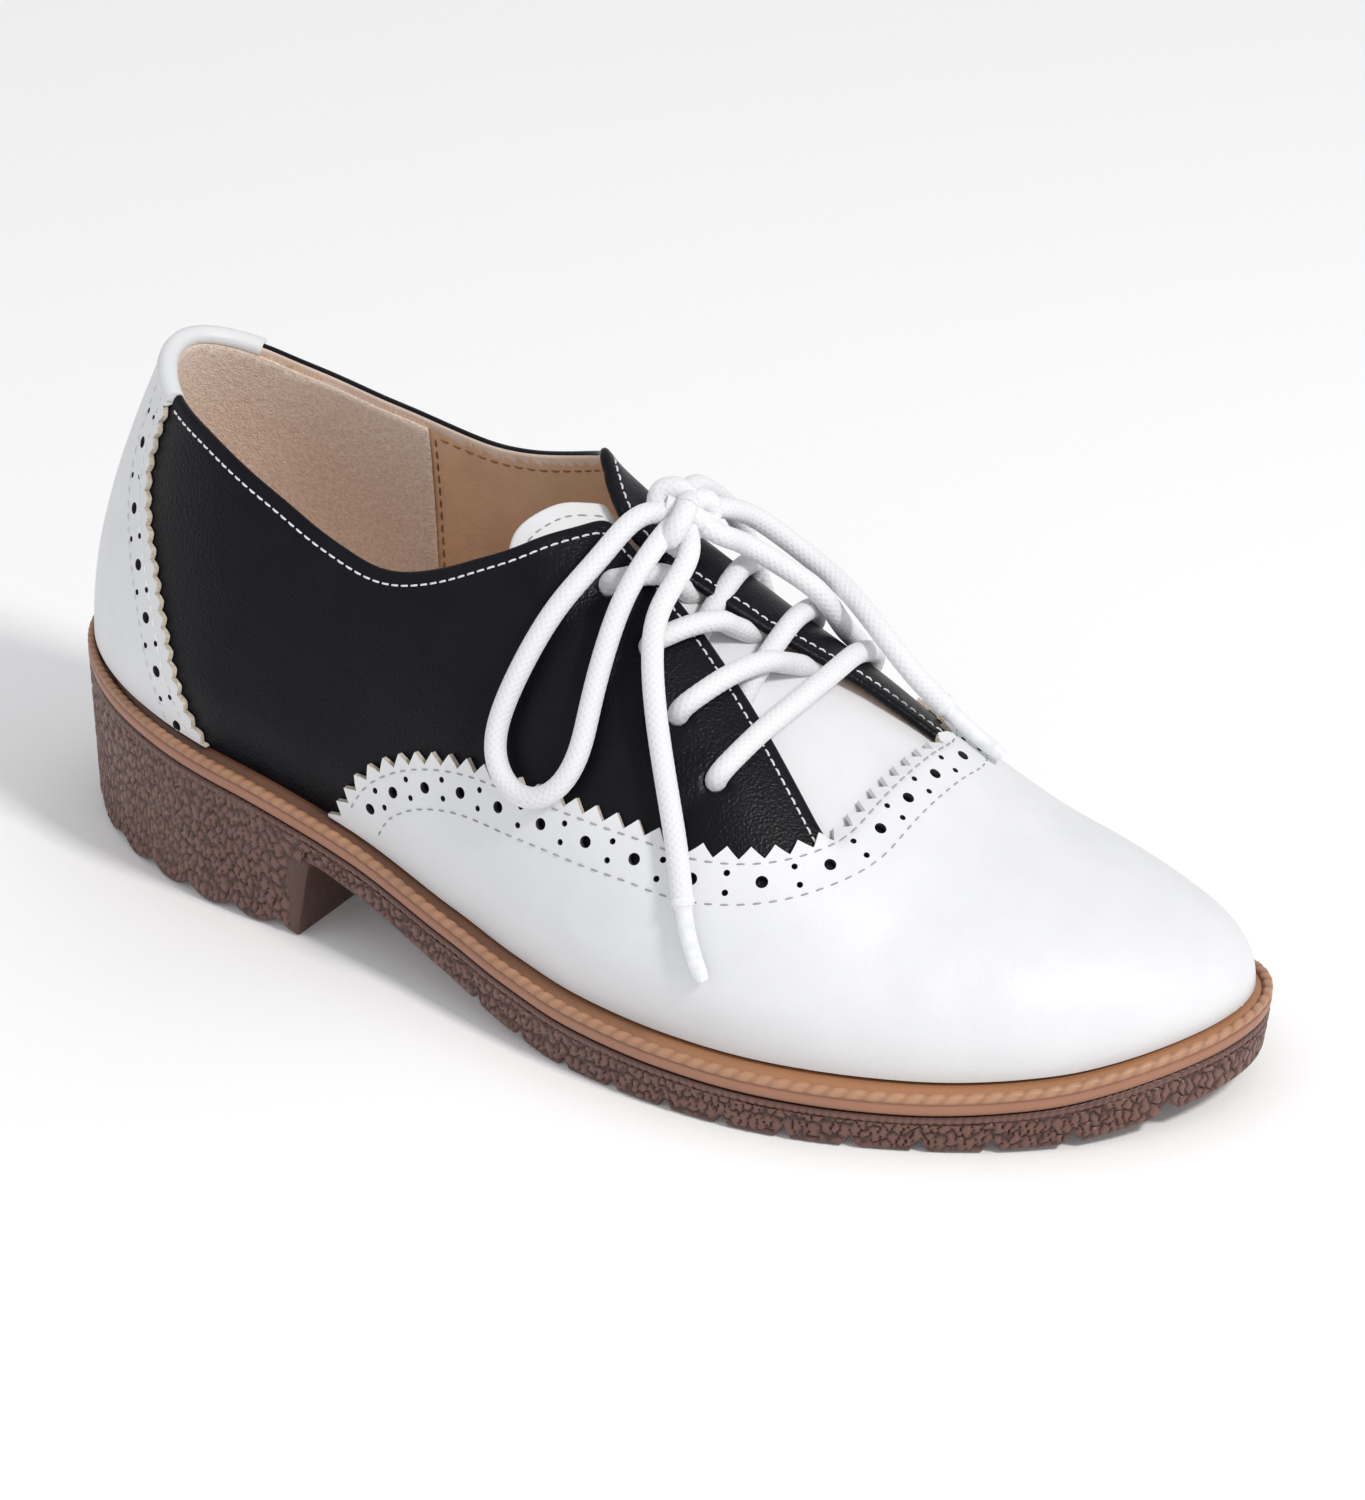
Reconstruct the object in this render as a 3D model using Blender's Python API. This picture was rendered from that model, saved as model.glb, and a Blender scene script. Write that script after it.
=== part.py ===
"""Right-foot saddle shoe with a pinked wing: hollow upper, heeled rubber sole, welt, insole, tongue, lace.

Tables are in millimetres: s runs from the heel to the toe, y to the wearer's left (the inner side), z up.
The side names are lateral (outer side of the foot, -y) and medial (inner side, +y).
"""
import math

import bmesh
import bpy
import numpy as np

for old in list(bpy.data.objects):
    bpy.data.objects.remove(old, do_unlink=True)

MM = 0.001
FIT = 0.3              # gap where two pieces meet
CURVED_FIT = 0.45      # gap where two curved shells lie on each other
WALL = 1.8             # upper leather with its lining
OVERLAY = 1.0          # leather of the wing and the counter
OVERLAY_FOOT = 0.9     # their lower edge over the feather line
TONGUE = 1.4
TONGUE_DROP = 0.8      # tongue under the lining of the facings
WELT_HEIGHT = 4.6      # from the bead down to the top of the ribbed side
INSOLE_ABOVE = 2.4     # insole top over the welt
INSOLE_FIT = 1.2
HEEL_END, TOE_END = 6.5, 254.5
HEEL_ROUND, TOE_ROUND = 52.0, 80.0     # lengths over which the plan closes as an ellipse
NOSE = 46.0            # length of the rounded toe nose
THROAT_FRONT = 186.5
WING_END = 84.0        # where the wing runs down to the welt
COUNTER_BACK, COUNTER_END = 23.4, 54.5     # where the counter leaves the collar and where it ends
LUG_PITCH, LUG_DEPTH, LUG_HALF = 11.3, 2.3, 1.4
EDGE = 0.9             # round of the tread's edge
HEEL_BREAST = 80.0
LACE = 4.4             # cord diameter
HOLE = 3.6             # punched eyelet
LATERAL, MEDIAL = -1, 1


def smooth(xs, ys):
    """Monotone cubic through a short table."""
    xs, ys = np.asarray(xs, float), np.asarray(ys, float)
    gap = np.diff(xs)
    rise = np.diff(ys) / gap
    slope = np.zeros(len(xs))
    slope[0], slope[-1] = rise[0], rise[-1]
    for i in range(1, len(xs) - 1):
        if rise[i - 1] * rise[i] > 0:
            w1, w2 = 2 * gap[i] + gap[i - 1], gap[i] + 2 * gap[i - 1]
            slope[i] = (w1 + w2) / (w1 / rise[i - 1] + w2 / rise[i])

    def value(x):
        x = np.clip(np.asarray(x, float), xs[0], xs[-1])
        i = np.clip(np.searchsorted(xs, x) - 1, 0, len(gap) - 1)
        t = (x - xs[i]) / gap[i]
        left = (1 + 2 * t) * (1 - t) ** 2 * ys[i] + t * (1 - t) ** 2 * gap[i] * slope[i]
        right = t * t * (3 - 2 * t) * ys[i + 1] + t * t * (t - 1) * gap[i] * slope[i + 1]
        return left + right
    return value


def table(names, rows):
    """Columns of a short table as smooth functions of its first column."""
    grid = np.array(rows, float)
    return {name: smooth(grid[:, 0], grid[:, k]) for k, name in enumerate(names)}


# The last, a row per section: middle line, half width at the feather line, ridge of the cone, roundness
LAST = table(("s", "centre", "half", "ridge_y", "ridge_z", "power"), (
    (6.5, 2.0, 29.0, 1.0, 128.0, 1.25),
    (35.0, -3.0, 29.0, -2.0, 131.0, 1.25),
    (60.0, -6.0, 29.2, -4.0, 128.0, 1.24),
    (90.0, -7.1, 29.5, -3.0, 117.0, 1.14),
    (116.0, -8.4, 32.2, 0.0, 99.5, 0.95),
    (132.0, -8.8, 35.8, 0.5, 88.2, 0.92),
    (151.0, -8.4, 40.0, 1.5, 76.2, 0.90),
    (170.0, -7.1, 42.6, 3.0, 64.8, 0.90),
    (190.0, -4.8, 43.4, 3.5, 51.6, 0.90),
    (213.0, -0.7, 43.4, 3.5, 41.2, 0.88),
    (235.0, 3.5, 43.4, 5.0, 38.5, 0.85),
    (254.5, 9.0, 43.4, 9.0, 40.0, 0.83)))
# Side view of the sole: top of the welt and underside, both over the floor
SOLE = table(("s", "seat", "arch"), (
    (0.0, 37.4, 0.0), (6.5, 37.0, 0.0), (35.0, 35.0, 0.0), (60.0, 32.6, 0.0),
    (HEEL_BREAST, 28.8, 17.2), (90.0, 26.3, 14.6), (116.0, 19.3, 6.2), (132.0, 16.4, 2.0),
    (146.0, 14.6, 0.0), (170.0, 13.6, 0.0), (190.0, 13.2, 0.0), (213.0, 12.8, 0.0),
    (235.0, 14.2, 1.0), (254.5, 18.5, 5.8), (262.0, 20.5, 8.4)))
# How far the back of the heel leans forward with height
HEEL_CURVE = table(("z", "forward"), (
    (20, 0.5), (37, 0.5), (53, 2.0), (68, 5.5), (80, 9.5), (94, 15.0), (110, 21.5), (131, 30.0)))["forward"]
WELT_WIDTH = table(("s", "width"), (
    (6.5, 2.5), (35, 3.5), (60, 4.0), (100, 4.5), (150, 5.5), (190, 5.8), (254.5, 4.6)))["width"]
# Heights over the feather line: collar edge, top of the wing, front of the counter
COLLAR = {
    LATERAL: table(("s", "height"), (
        (6.5, 61.0), (24, 58.8), (38, 58.0), (50, 56.4), (64, 53.9), (76, 51.9), (86, 51.4), (92, 52.5),
        (97, 54.9), (104, 59.4), (110, 63.8), (116, 67.8), (121.5, 71.6), (127.7, 73.6)))["height"],
    MEDIAL: table(("s", "height"), (
        (6.5, 61.0), (24, 58.6), (36, 57.0), (55, 56.5), (70, 57.4), (84, 58.8), (95, 62.4), (106, 68.3),
        (112, 72.2), (118.5, 77.0)))["height"]}
WING = {
    LATERAL: table(("s", "height"), (
        (WING_END, 0.9), (86, 4.8), (90.2, 12.9), (97, 20.5), (106.3, 27.5), (116, 32.2),
        (131, 35.6), (145, 37.2), (158, 36.8), (168, 35.2), (176, 35.0), (183, 35.6),
        (THROAT_FRONT, 36.6)))["height"],
    MEDIAL: table(("s", "height"), (
        (WING_END, 0.9), (86, 4.8), (90.2, 12.9), (97, 20.5), (106.3, 27.5), (116, 32.2),
        (131, 35.6), (145, 37.0), (158, 36.8), (168, 36.4), (178, 37.2), (THROAT_FRONT, 38.7)))["height"]}
COUNTER_FRONT = table(("s", "height"), (
    (6.5, 60.2), (COUNTER_BACK, 58.2), (24.3, 50.0), (25.6, 45.0), (29.7, 38.3), (36, 30.0), (41.6, 21.2),
    (46.5, 12.0), (51, 4.3), (COUNTER_END, 0.9)))["height"]
# Distance of the facing edges from the frame's middle plane; the throat is a V, nearly shut at the top
FACING_TOP = {LATERAL: 127.7, MEDIAL: 118.5}
FACING = {
    LATERAL: table(("s", "y"), (
        (127.7, -8.6), (134, -9.0), (141, -10.0), (148, -11.5), (160.4, -15.6), (176, -22.2),
        (THROAT_FRONT, -26.8)))["y"],
    MEDIAL: table(("s", "y"), (
        (118.5, 3.0), (121.5, 0.2), (125, -3.0), (129.5, -5.4), (134, -5.4), (139.5, -4.4),
        (148, -1.7), (158.8, 2.4), (169, 7.6), (177, 12.2), (THROAT_FRONT, 16.5)))["y"]}
# Eyelet pairs from the front one up, as (s, y)
EYELETS = {
    LATERAL: ((166.0, -32.3), (155.0, -27.8), (145.0, -22.0), (133.8, -18.2)),
    MEDIAL: ((167.5, 23.5), (156.5, 20.0), (144.5, 16.5), (134.0, 13.0))}


def seat(s):
    return SOLE["seat"](s)


def closing(s):
    """Plan width factor: 1 along the foot, closing as an ellipse at the heel and at the toe."""
    heel = np.clip(HEEL_END + HEEL_ROUND - s, 0, None) / HEEL_ROUND
    toe = np.clip(s - TOE_END + TOE_ROUND, 0, None) / TOE_ROUND
    return np.sqrt(np.clip(1 - heel ** 2, 0, 1) * np.clip(1 - toe ** 2, 0, 1))


def cone_height(s):
    """Height of the ridge over the feather line, rounded down at the toe nose."""
    nose = np.clip(s - TOE_END + NOSE, 0, None) / NOSE
    return (LAST["ridge_z"](s) - seat(s)) * np.clip(1 - nose ** 2.2, 0, 1) ** 0.5


def skin(s, v):
    """Outer face of the upper; v runs from -1 (lateral feather line) over 0 (ridge) to +1 (medial)."""
    s, v = np.broadcast_arrays(np.asarray(s, float), np.asarray(v, float))
    closed = closing(s)
    centre = LAST["centre"](s)
    ridge = centre + (LAST["ridge_y"](s) - centre) * closed
    edge = centre + np.where(v < 0, LATERAL, MEDIAL) * LAST["half"](s) * closed
    angle = (1 - np.abs(v)) * math.pi / 2
    rise = cone_height(s) * np.sin(angle) ** LAST["power"](s)
    low = np.clip(rise / 14.0, 0, 1)
    bulge = 1 + 0.05 * low * low * (3 - 2 * low)
    y = ridge + (edge - ridge) * np.cos(angle) ** LAST["power"](s) * bulge
    z = seat(s) + FIT + rise
    lean = HEEL_CURVE(z) * np.clip(1 - (s - HEEL_END) / 110.0, 0, 1) ** 2
    return np.stack([s + lean, y, z], -1)


def v_at_height(s, height, side):
    """Surface parameter at a height over the feather line."""
    share = np.clip(height / np.maximum(cone_height(s), 1e-6), 0, 1)
    angle = np.arcsin(share ** (1 / LAST["power"](s)))
    return side * (1 - 2 * angle / math.pi)


def v_at_y(s, y):
    """Surface parameter at a distance y, on the upper part of the section."""
    v = np.linspace(-0.85, 0.85, 341)
    return float(np.interp(y, skin(s, v)[:, 1], v))


def skin_point(s, y, lift):
    """A point over the upper at (s, y), lifted along the surface normal."""
    v = v_at_y(s, y)
    here = skin(s, v)
    along = skin(s + 0.5, v) - skin(s - 0.5, v)
    across = skin(s, v + 0.01) - skin(s, v - 0.01)
    normal = np.cross(along, across)
    return here + normal / np.linalg.norm(normal) * lift


def stations(count, *corners):
    """Sections along the last, closer together at both ends, with given corners among them."""
    q = np.linspace(0, 1, count + 1)
    mixed = 0.25 * q + 0.75 * (1 - np.cos(math.pi * q)) / 2
    s = HEEL_END + (TOE_END - HEEL_END) * mixed
    for corner in corners:
        s[np.abs(s - corner).argmin()] = corner
    return s


def weld(patches):
    """Grids of points with their facing sense, merged into one sheet of vertices and faces."""
    verts, index, faces = [], {}, []

    def number(point):
        key = tuple(np.round(point, 5))
        if key not in index:
            index[key] = len(verts)
            verts.append(point)
        return index[key]

    for grid, flip in patches:
        ids = [[number(p) for p in row] for row in grid]
        for a, b in zip(ids, ids[1:]):
            for j in range(len(a) - 1):
                quad = [a[j], b[j], b[j + 1], a[j + 1]]
                loop = [k for n, k in enumerate(quad) if k not in quad[:n]]
                if len(loop) > 2:
                    faces.append(loop[::-1] if flip else loop)
    return np.array(verts), faces


def thicken(verts, faces, outer, inner):
    """Closed shell between two offsets of a sheet, positive outwards."""
    normal = np.zeros_like(verts)
    for loop in faces:
        p = verts[loop]
        area = sum(np.cross(p[k] - p[0], p[k + 1] - p[0]) for k in range(1, len(loop) - 1))
        normal[loop] += area
    normal /= np.linalg.norm(normal, axis=1, keepdims=True)
    count = len(verts)
    shell = np.vstack([verts + normal * outer, verts + normal * inner])
    closed = [list(loop) for loop in faces] + [[k + count for k in loop[::-1]] for loop in faces]
    edges = {(a, b) for loop in faces for a, b in zip(loop, loop[1:] + loop[:1])}
    closed += [[b, a, a + count, b + count] for a, b in sorted(edges) if (b, a) not in edges]
    return shell, closed


def feather_line(s_list):
    """Closed plan loop where the upper meets the welt, with outward normals and the welt width."""
    lateral = skin(s_list, np.full(len(s_list), -1.0))[:, :2]
    medial = skin(s_list, np.full(len(s_list), 1.0))[:, :2]
    loop = np.vstack([lateral, medial[-2:0:-1]])
    width = np.concatenate([WELT_WIDTH(s_list), WELT_WIDTH(s_list)[-2:0:-1]])
    along = np.roll(loop, -1, 0) - np.roll(loop, 1, 0)
    normal = np.stack([along[:, 1], -along[:, 0]], -1)
    return loop, normal / np.linalg.norm(normal, axis=1, keepdims=True), width


def ring(loop, normal, distance, height):
    """The plan loop moved outwards, at a height taken at each moved point."""
    plan = loop + normal * np.reshape(distance, (-1, 1))
    return np.column_stack([plan, height(plan[:, 0])])


def ring_faces(rings, closed):
    """Side faces between stacked rings of one length."""
    count, faces = len(rings[0]), []
    levels = len(rings) if closed else len(rings) - 1
    for k in range(levels):
        low, high = k * count, (k + 1) % len(rings) * count
        for i in range(count):
            j = (i + 1) % count
            faces.append([low + i, low + j, high + j, high + i])
    return faces


def lid_faces(start, count, up):
    """Strips that close a ring, joining the lateral and the medial point of each section."""
    half = count // 2
    faces = []
    for i in range(half):
        quad = [i, i + 1, (count - i - 1) % count, (count - i) % count]
        loop = [start + k for n, k in enumerate(quad) if k not in quad[:n]]
        faces.append(loop if up else loop[::-1])
    return faces


def tube(points, diameter, sides=6, steps=2):
    """Closed round tube along a smoothed path."""
    p = np.asarray(points, float)
    ends = np.vstack([2 * p[0] - p[1], p, 2 * p[-1] - p[-2]])
    path = []
    for i in range(len(p) - 1):
        a, b, c, d = ends[i:i + 4]
        for t in np.arange(steps) / steps:
            path.append(0.5 * (2 * b + (c - a) * t + (2 * a - 5 * b + 4 * c - d) * t ** 2
                               + (3 * b - a - 3 * c + d) * t ** 3))
    path = np.array(path + [p[-1]])
    tangent = np.gradient(path, axis=0)
    tangent /= np.linalg.norm(tangent, axis=1, keepdims=True)
    across = np.cross(tangent[0], (0.0, 0.0, 1.0))
    verts = []
    for point, direction in zip(path, tangent):
        across = across - direction * np.dot(across, direction)
        across /= np.linalg.norm(across)
        up = np.cross(direction, across)
        for k in range(sides):
            turn = 2 * math.pi * k / sides
            verts.append(point + (across * math.cos(turn) + up * math.sin(turn)) * diameter / 2)
    faces = []
    for i in range(len(path) - 1):
        for k in range(sides):
            j = (k + 1) % sides
            faces.append([i * sides + k, i * sides + j, (i + 1) * sides + j, (i + 1) * sides + k])
    last = (len(path) - 1) * sides
    faces += [list(range(sides))[::-1], [last + k for k in range(sides)]]
    return np.array(verts), faces


OUTLINE, OUTWARD, WIDTH = feather_line(stations(46))
RIM = OUTLINE + OUTWARD * WIDTH[:, None]
ORIGIN = np.array([*(RIM.min(0) + RIM.max(0)) / 2, 0.0])


def material(name, colour, roughness):
    made = bpy.data.materials.new(name)
    made.use_nodes = True
    shader = made.node_tree.nodes["Principled BSDF"]
    shader.inputs["Base Color"].default_value = (*colour, 1.0)
    shader.inputs["Roughness"].default_value = roughness
    return made


def add(name, solid, colour, roughness):
    """One named object with its own material, facing out."""
    verts, faces = solid
    mesh = bpy.data.meshes.new(name)
    mesh.from_pydata(((np.asarray(verts) - ORIGIN) * MM).tolist(), [], faces)
    shaped = bmesh.new()
    shaped.from_mesh(mesh)
    bmesh.ops.remove_doubles(shaped, verts=shaped.verts, dist=1e-7)
    bmesh.ops.triangulate(shaped, faces=shaped.faces)
    bmesh.ops.recalc_face_normals(shaped, faces=shaped.faces)
    shaped.to_mesh(mesh)
    shaped.free()
    made = bpy.data.objects.new(name, mesh)
    bpy.context.scene.collection.objects.link(made)
    made.data.materials.append(material(name, colour, roughness))
    return made


def combine(target, tool, operation):
    """Applies one solid to another and removes the tool."""
    change = target.modifiers.new(operation, "BOOLEAN")
    change.operation, change.object, change.solver = operation, tool, "EXACT"
    done = bpy.data.meshes.new_from_object(target.evaluated_get(bpy.context.evaluated_depsgraph_get()))
    target.modifiers.clear()
    target.data = done
    bpy.data.objects.remove(tool, do_unlink=True)
    shaped = bmesh.new()
    shaped.from_mesh(done)
    bmesh.ops.triangulate(shaped, faces=shaped.faces)
    bmesh.ops.remove_doubles(shaped, verts=shaped.verts, dist=1e-7)
    bmesh.ops.dissolve_degenerate(shaped, edges=shaped.edges, dist=1e-7)
    shaped.to_mesh(done)
    shaped.free()


WHITE = (0.8, 0.8, 0.8)
BLACK = (0.02, 0.02, 0.025)
TAN = (0.42, 0.24, 0.14)
BROWN = (0.13, 0.06, 0.045)
BEIGE = (0.6, 0.42, 0.33)


def top_edge(s, side):
    """Upper edge of one side: collar, then facing; ahead of the throat the line runs on to the toe."""
    if s <= FACING_TOP[side]:
        return float(v_at_height(s, COLLAR[side](s), side))
    if s <= THROAT_FRONT:
        return v_at_y(s, FACING[side](s))
    return FRONT[side]


FRONT = {side: v_at_y(THROAT_FRONT, FACING[side](THROAT_FRONT)) for side in (LATERAL, MEDIAL)}


def side_grid(s_list, side, low, high, rows):
    """Grid over one side between two edges given as surface parameters per section."""
    share = np.linspace(0, 1, rows + 1)
    return [skin(s, low(s, side) + (high(s, side) - low(s, side)) * share) for s in s_list]


def feather(s, side):
    return float(side)


def overlay_foot(s, side):
    """Lower edge of the overlays, just off the welt."""
    return float(v_at_height(s, OVERLAY_FOOT, side))


def front_grid(s_list, columns):
    """Grid ahead of the throat, between the two facing lines."""
    return [skin(s, np.linspace(FRONT[LATERAL], FRONT[MEDIAL], columns + 1)) for s in s_list]


def build_upper():
    s_list = stations(48, WING_END, FACING_TOP[MEDIAL], FACING_TOP[LATERAL], THROAT_FRONT)
    ahead = s_list[s_list >= THROAT_FRONT]
    sheet = weld(((side_grid(s_list, LATERAL, feather, top_edge, 7), False),
                  (side_grid(s_list, MEDIAL, feather, top_edge, 7), True),
                  (front_grid(ahead, 5), False)))
    upper = add("upper", thicken(*sheet, 0.0, -WALL), BLACK, 0.4)
    for side in (LATERAL, MEDIAL):
        for s, y in EYELETS[side]:
            reach = [skin_point(s, y, lift) for lift in (3.0, -1.0, -5.0)]
            punch = add("punch", tube(reach, HOLE, 8), WHITE, 0.5)
            punch.hide_render, punch.display_type = True, "WIRE"
            combine(upper, punch, "DIFFERENCE")


def build_vamp():
    """White wing and toe: laid on the upper below the pinked line and ahead of the throat."""
    def wing_edge(s, side):
        return float(v_at_height(s, WING[side](s), side)) if s < THROAT_FRONT else FRONT[side]
    s_list = stations(48, WING_END, THROAT_FRONT)
    s_list = np.unique(np.concatenate([s_list[s_list >= WING_END], (86.5, 180.0, 183.5)]))
    ahead = s_list[s_list >= THROAT_FRONT]
    sheet = weld(((side_grid(s_list, LATERAL, overlay_foot, wing_edge, 6), False),
                  (side_grid(s_list, MEDIAL, overlay_foot, wing_edge, 6), True),
                  (front_grid(ahead, 5), False)))
    add("vamp", thicken(*sheet, CURVED_FIT + OVERLAY, CURVED_FIT), WHITE, 0.4)


def build_counter():
    """White heel overlay, full height at the back and running down to the feather line in front."""
    def front_edge(s, side):
        return float(v_at_height(s, COUNTER_FRONT(s), side))
    back = HEEL_END + (COUNTER_BACK - HEEL_END) * np.linspace(0, 1, 6) ** 1.6
    s_list = np.concatenate([back, (24.3, 25.6, 29.7, 36, 41.6, 46.5, 51, COUNTER_END)])
    sheet = weld(((side_grid(s_list, LATERAL, overlay_foot, front_edge, 6), False),
                  (side_grid(s_list, MEDIAL, overlay_foot, front_edge, 6), True)))
    add("counter", thicken(*sheet, CURVED_FIT + OVERLAY, CURVED_FIT), WHITE, 0.4)


def build_tongue():
    """Leather tongue under both facings, from above the throat to under the vamp."""
    spread = table(("s", "lateral", "medial"), (
        (114.5, 15.0, -16.0), (118, 17.5, -9.6), (121.6, 15.5, -2.0), (126, 12.0, 1.5),
        (132, 10.0, 6.0), (140, 9.0, 8.0), (150, 9.0, 8.0), (197, 7.0, 5.0)))
    grid = []
    for s in np.concatenate([(114.5, 116, 118, 119.8), np.linspace(121.6, 197, 13)]):
        at = max(s, FACING_TOP[LATERAL])
        low = v_at_y(s, FACING[LATERAL](at) - spread["lateral"](s))
        high = v_at_y(s, FACING[MEDIAL](at) + spread["medial"](s))
        grid.append(skin(s, np.linspace(low, high, 7)))
    below = WALL + TONGUE_DROP
    add("tongue", thicken(*weld(((grid, False),)), -below, -below - TONGUE), WHITE, 0.45)


def build_welt():
    """Ring the upper stands on: sloping channel, round bead on the rim, plain band below it."""
    section = ((-WALL, 0, -WELT_HEIGHT), (-WALL, 0, 0.0), (0.2, 0, 0.0), (-2.2, 1, -0.9), (-1.7, 1, -0.2),
               (-0.6, 1, -0.2), (0.0, 1, -1.4), (-0.3, 1, -2.6), (-0.6, 1, -WELT_HEIGHT))
    rings = [ring(OUTLINE, OUTWARD, offset + of_width * WIDTH, lambda x, dz=dz: seat(x) + dz)
             for offset, of_width, dz in section]
    add("welt", (np.vstack(rings), ring_faces(rings, True)), TAN, 0.5)


def build_insole():
    loop, normal, _ = feather_line(stations(30))
    levels = (FIT - WELT_HEIGHT, INSOLE_ABOVE)
    rings = [ring(loop, normal, -WALL - INSOLE_FIT, lambda x, dz=dz: seat(x) + dz) for dz in levels]
    count = len(loop)
    faces = ring_faces(rings, False) + lid_faces(0, count, False) + lid_faces(count, count, True)
    add("insole", (np.vstack(rings), faces), BEIGE, 0.8)


def lug_stations():
    """Sections of the sole: ends, breast and three for each cross groove, with the groove depth."""
    arch = (HEEL_BREAST - 3.0, HEEL_BREAST, 90, 100, 110, 117)
    plain = np.concatenate([stations(40)[:5], stations(40)[-5:], arch])
    rows = {float(s): 0.0 for s in plain}
    for first, count in ((15.4, 6), (124.2, 12)):
        for k in range(count):
            middle = first + k * LUG_PITCH
            rows.update({middle - LUG_HALF: 0.0, middle: LUG_DEPTH, middle + LUG_HALF: 0.0})
    return np.array(sorted(rows)), rows


def build_outsole():
    s_list, groove = lug_stations()
    loop, normal, width = feather_line(s_list)
    cut = np.array([groove[s] for s in s_list])
    under = np.where(s_list < HEEL_BREAST - 1, 0.0, SOLE["arch"](s_list)) + cut
    under = np.concatenate([under, under[-2:0:-1]])
    heel = np.concatenate([s_list, s_list[-2:0:-1]]) < HEEL_BREAST
    taper = np.where(heel, 2.2, 1.4)
    top = seat(loop[:, 0]) - WELT_HEIGHT - FIT
    levels = ((taper + EDGE, 0.0, False), (taper, EDGE, False), (0.5, 1.2, True), (0.9, 0.0, True))
    rings = []
    for inset, step, from_top in levels:
        plan = loop + normal * (width - inset)[:, None]
        high = seat(plan[:, 0]) - WELT_HEIGHT - FIT
        rings.append(np.column_stack([plan, high - step if from_top else under + step]))
    assert (under + 2.0 < top).all()
    count = len(loop)
    faces = ring_faces(rings, False) + lid_faces(0, count, False) + lid_faces(3 * count, count, True)
    add("outsole", (np.vstack(rings), faces), BROWN, 0.7)


def lace_path(rows):
    """Lace path from rows of (s, y, lift over the upper)."""
    return [skin_point(s, y, lift) for s, y, lift in rows]


def strand(start, end, lift, bow=0.0):
    """Lace lying over the throat between two places (s, y), bowed towards the toe."""
    rows = []
    run = math.dist(start, end)
    for t in np.linspace(0, 1, 2 + round(run / STRAND_STEP)):
        s = start[0] + (end[0] - start[0]) * t + bow * math.sin(math.pi * t)
        rows.append((s, start[1] + (end[1] - start[1]) * t, lift))
    return rows


def build_crossings():
    """Front bar, then three crossings of strands from under one facing to an eyelet of the other."""
    lateral, medial = EYELETS[LATERAL], EYELETS[MEDIAL]
    add("lace_bar_1", tube(lace_path(strand(lateral[0], medial[0], ON_UPPER, BAR_BOW)), LACE), WHITE, 0.8)
    for n in (1, 2, 3):
        s_far, s_near = lateral[n][0] + LEAD[LATERAL], medial[n][0] + LEAD[MEDIAL]
        from_far = strand((s_far, FACING[MEDIAL](s_far) - CLEAR), lateral[n], ON_UPPER)
        from_near = strand((s_near, FACING[LATERAL](s_near) + CLEAR), medial[n], ON_UPPER)
        cross = add(f"lace_cross_{n + 1}", tube(lace_path(from_far), LACE), WHITE, 0.8)
        second = add("second", tube(lace_path(from_near), LACE), WHITE, 0.8)
        second.hide_render, second.display_type = True, "WIRE"
        combine(cross, second, "UNION")


def build_knot():
    """Knot as a ball resting on the top crossing."""
    verts, around, levels = [], 10, 6
    for level in range(1, levels):
        tilt = math.pi * level / levels
        for k in range(around):
            turn = 2 * math.pi * k / around
            way = (math.sin(tilt) * math.cos(turn), math.sin(tilt) * math.sin(turn), math.cos(tilt))
            verts.append(KNOT_AT + KNOT * np.array(way))
    rings = np.array(verts).reshape(levels - 1, around, 3)
    last = (levels - 2) * around
    faces = ring_faces(rings, False) + [list(range(around))[::-1], list(range(last, last + around))]
    add("lace_knot", (verts, faces), WHITE, 0.8)


def knot_exit(turn, away):
    """A strand's place off the knot, turned from the toe direction in the plane of the instep."""
    along = skin_point(KNOT_S + 1, KNOT_Y, 0) - skin_point(KNOT_S - 1, KNOT_Y, 0)
    across = skin_point(KNOT_S, KNOT_Y + 1, 0) - skin_point(KNOT_S, KNOT_Y - 1, 0)
    way = along / np.linalg.norm(along) * math.cos(math.radians(turn))
    way = way + across / np.linalg.norm(across) * math.sin(math.radians(turn))
    return KNOT_AT + way / np.linalg.norm(way) * (KNOT + away)


def build_free_lace():
    """Two loops and two ends that come out of the knot and lie on the sides of the shoe."""
    for name, (first, last, rows) in FREE_LACE.items():
        points = [knot_exit(first, CURVED_FIT), knot_exit(first, KNOT_LEAD)] + lace_path(rows)
        if last is not None:
            points += [knot_exit(last, KNOT_LEAD), knot_exit(last, CURVED_FIT)]
        add(name, tube(points, LACE, steps=1), WHITE, 0.8)


ON_UPPER = LACE / 2 + CURVED_FIT            # lift of the cord's middle lying on the black upper
ON_WING = ON_UPPER + CURVED_FIT + OVERLAY   # the same on the white overlay
ON_LACE = ON_WING + LACE                    # crossing over another strand
STRAND_STEP = 8.0                           # length between points along a strand
BAR_BOW = 3.0                               # how far the front bar bows towards the toe
LEAD = {LATERAL: 10.5, MEDIAL: 6.0}         # how far ahead of its eyelet a strand comes out
CLEAR = 1.0                                 # from the facing that it comes out under
KNOT = 6.0                                  # radius
KNOT_LEAD = 3.0                             # how far a strand runs straight out of the knot
KNOT_S, KNOT_Y = 136.0, -4.6
KNOT_AT = skin_point(KNOT_S, KNOT_Y, ON_UPPER + LACE / 2 + FIT + KNOT)
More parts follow.
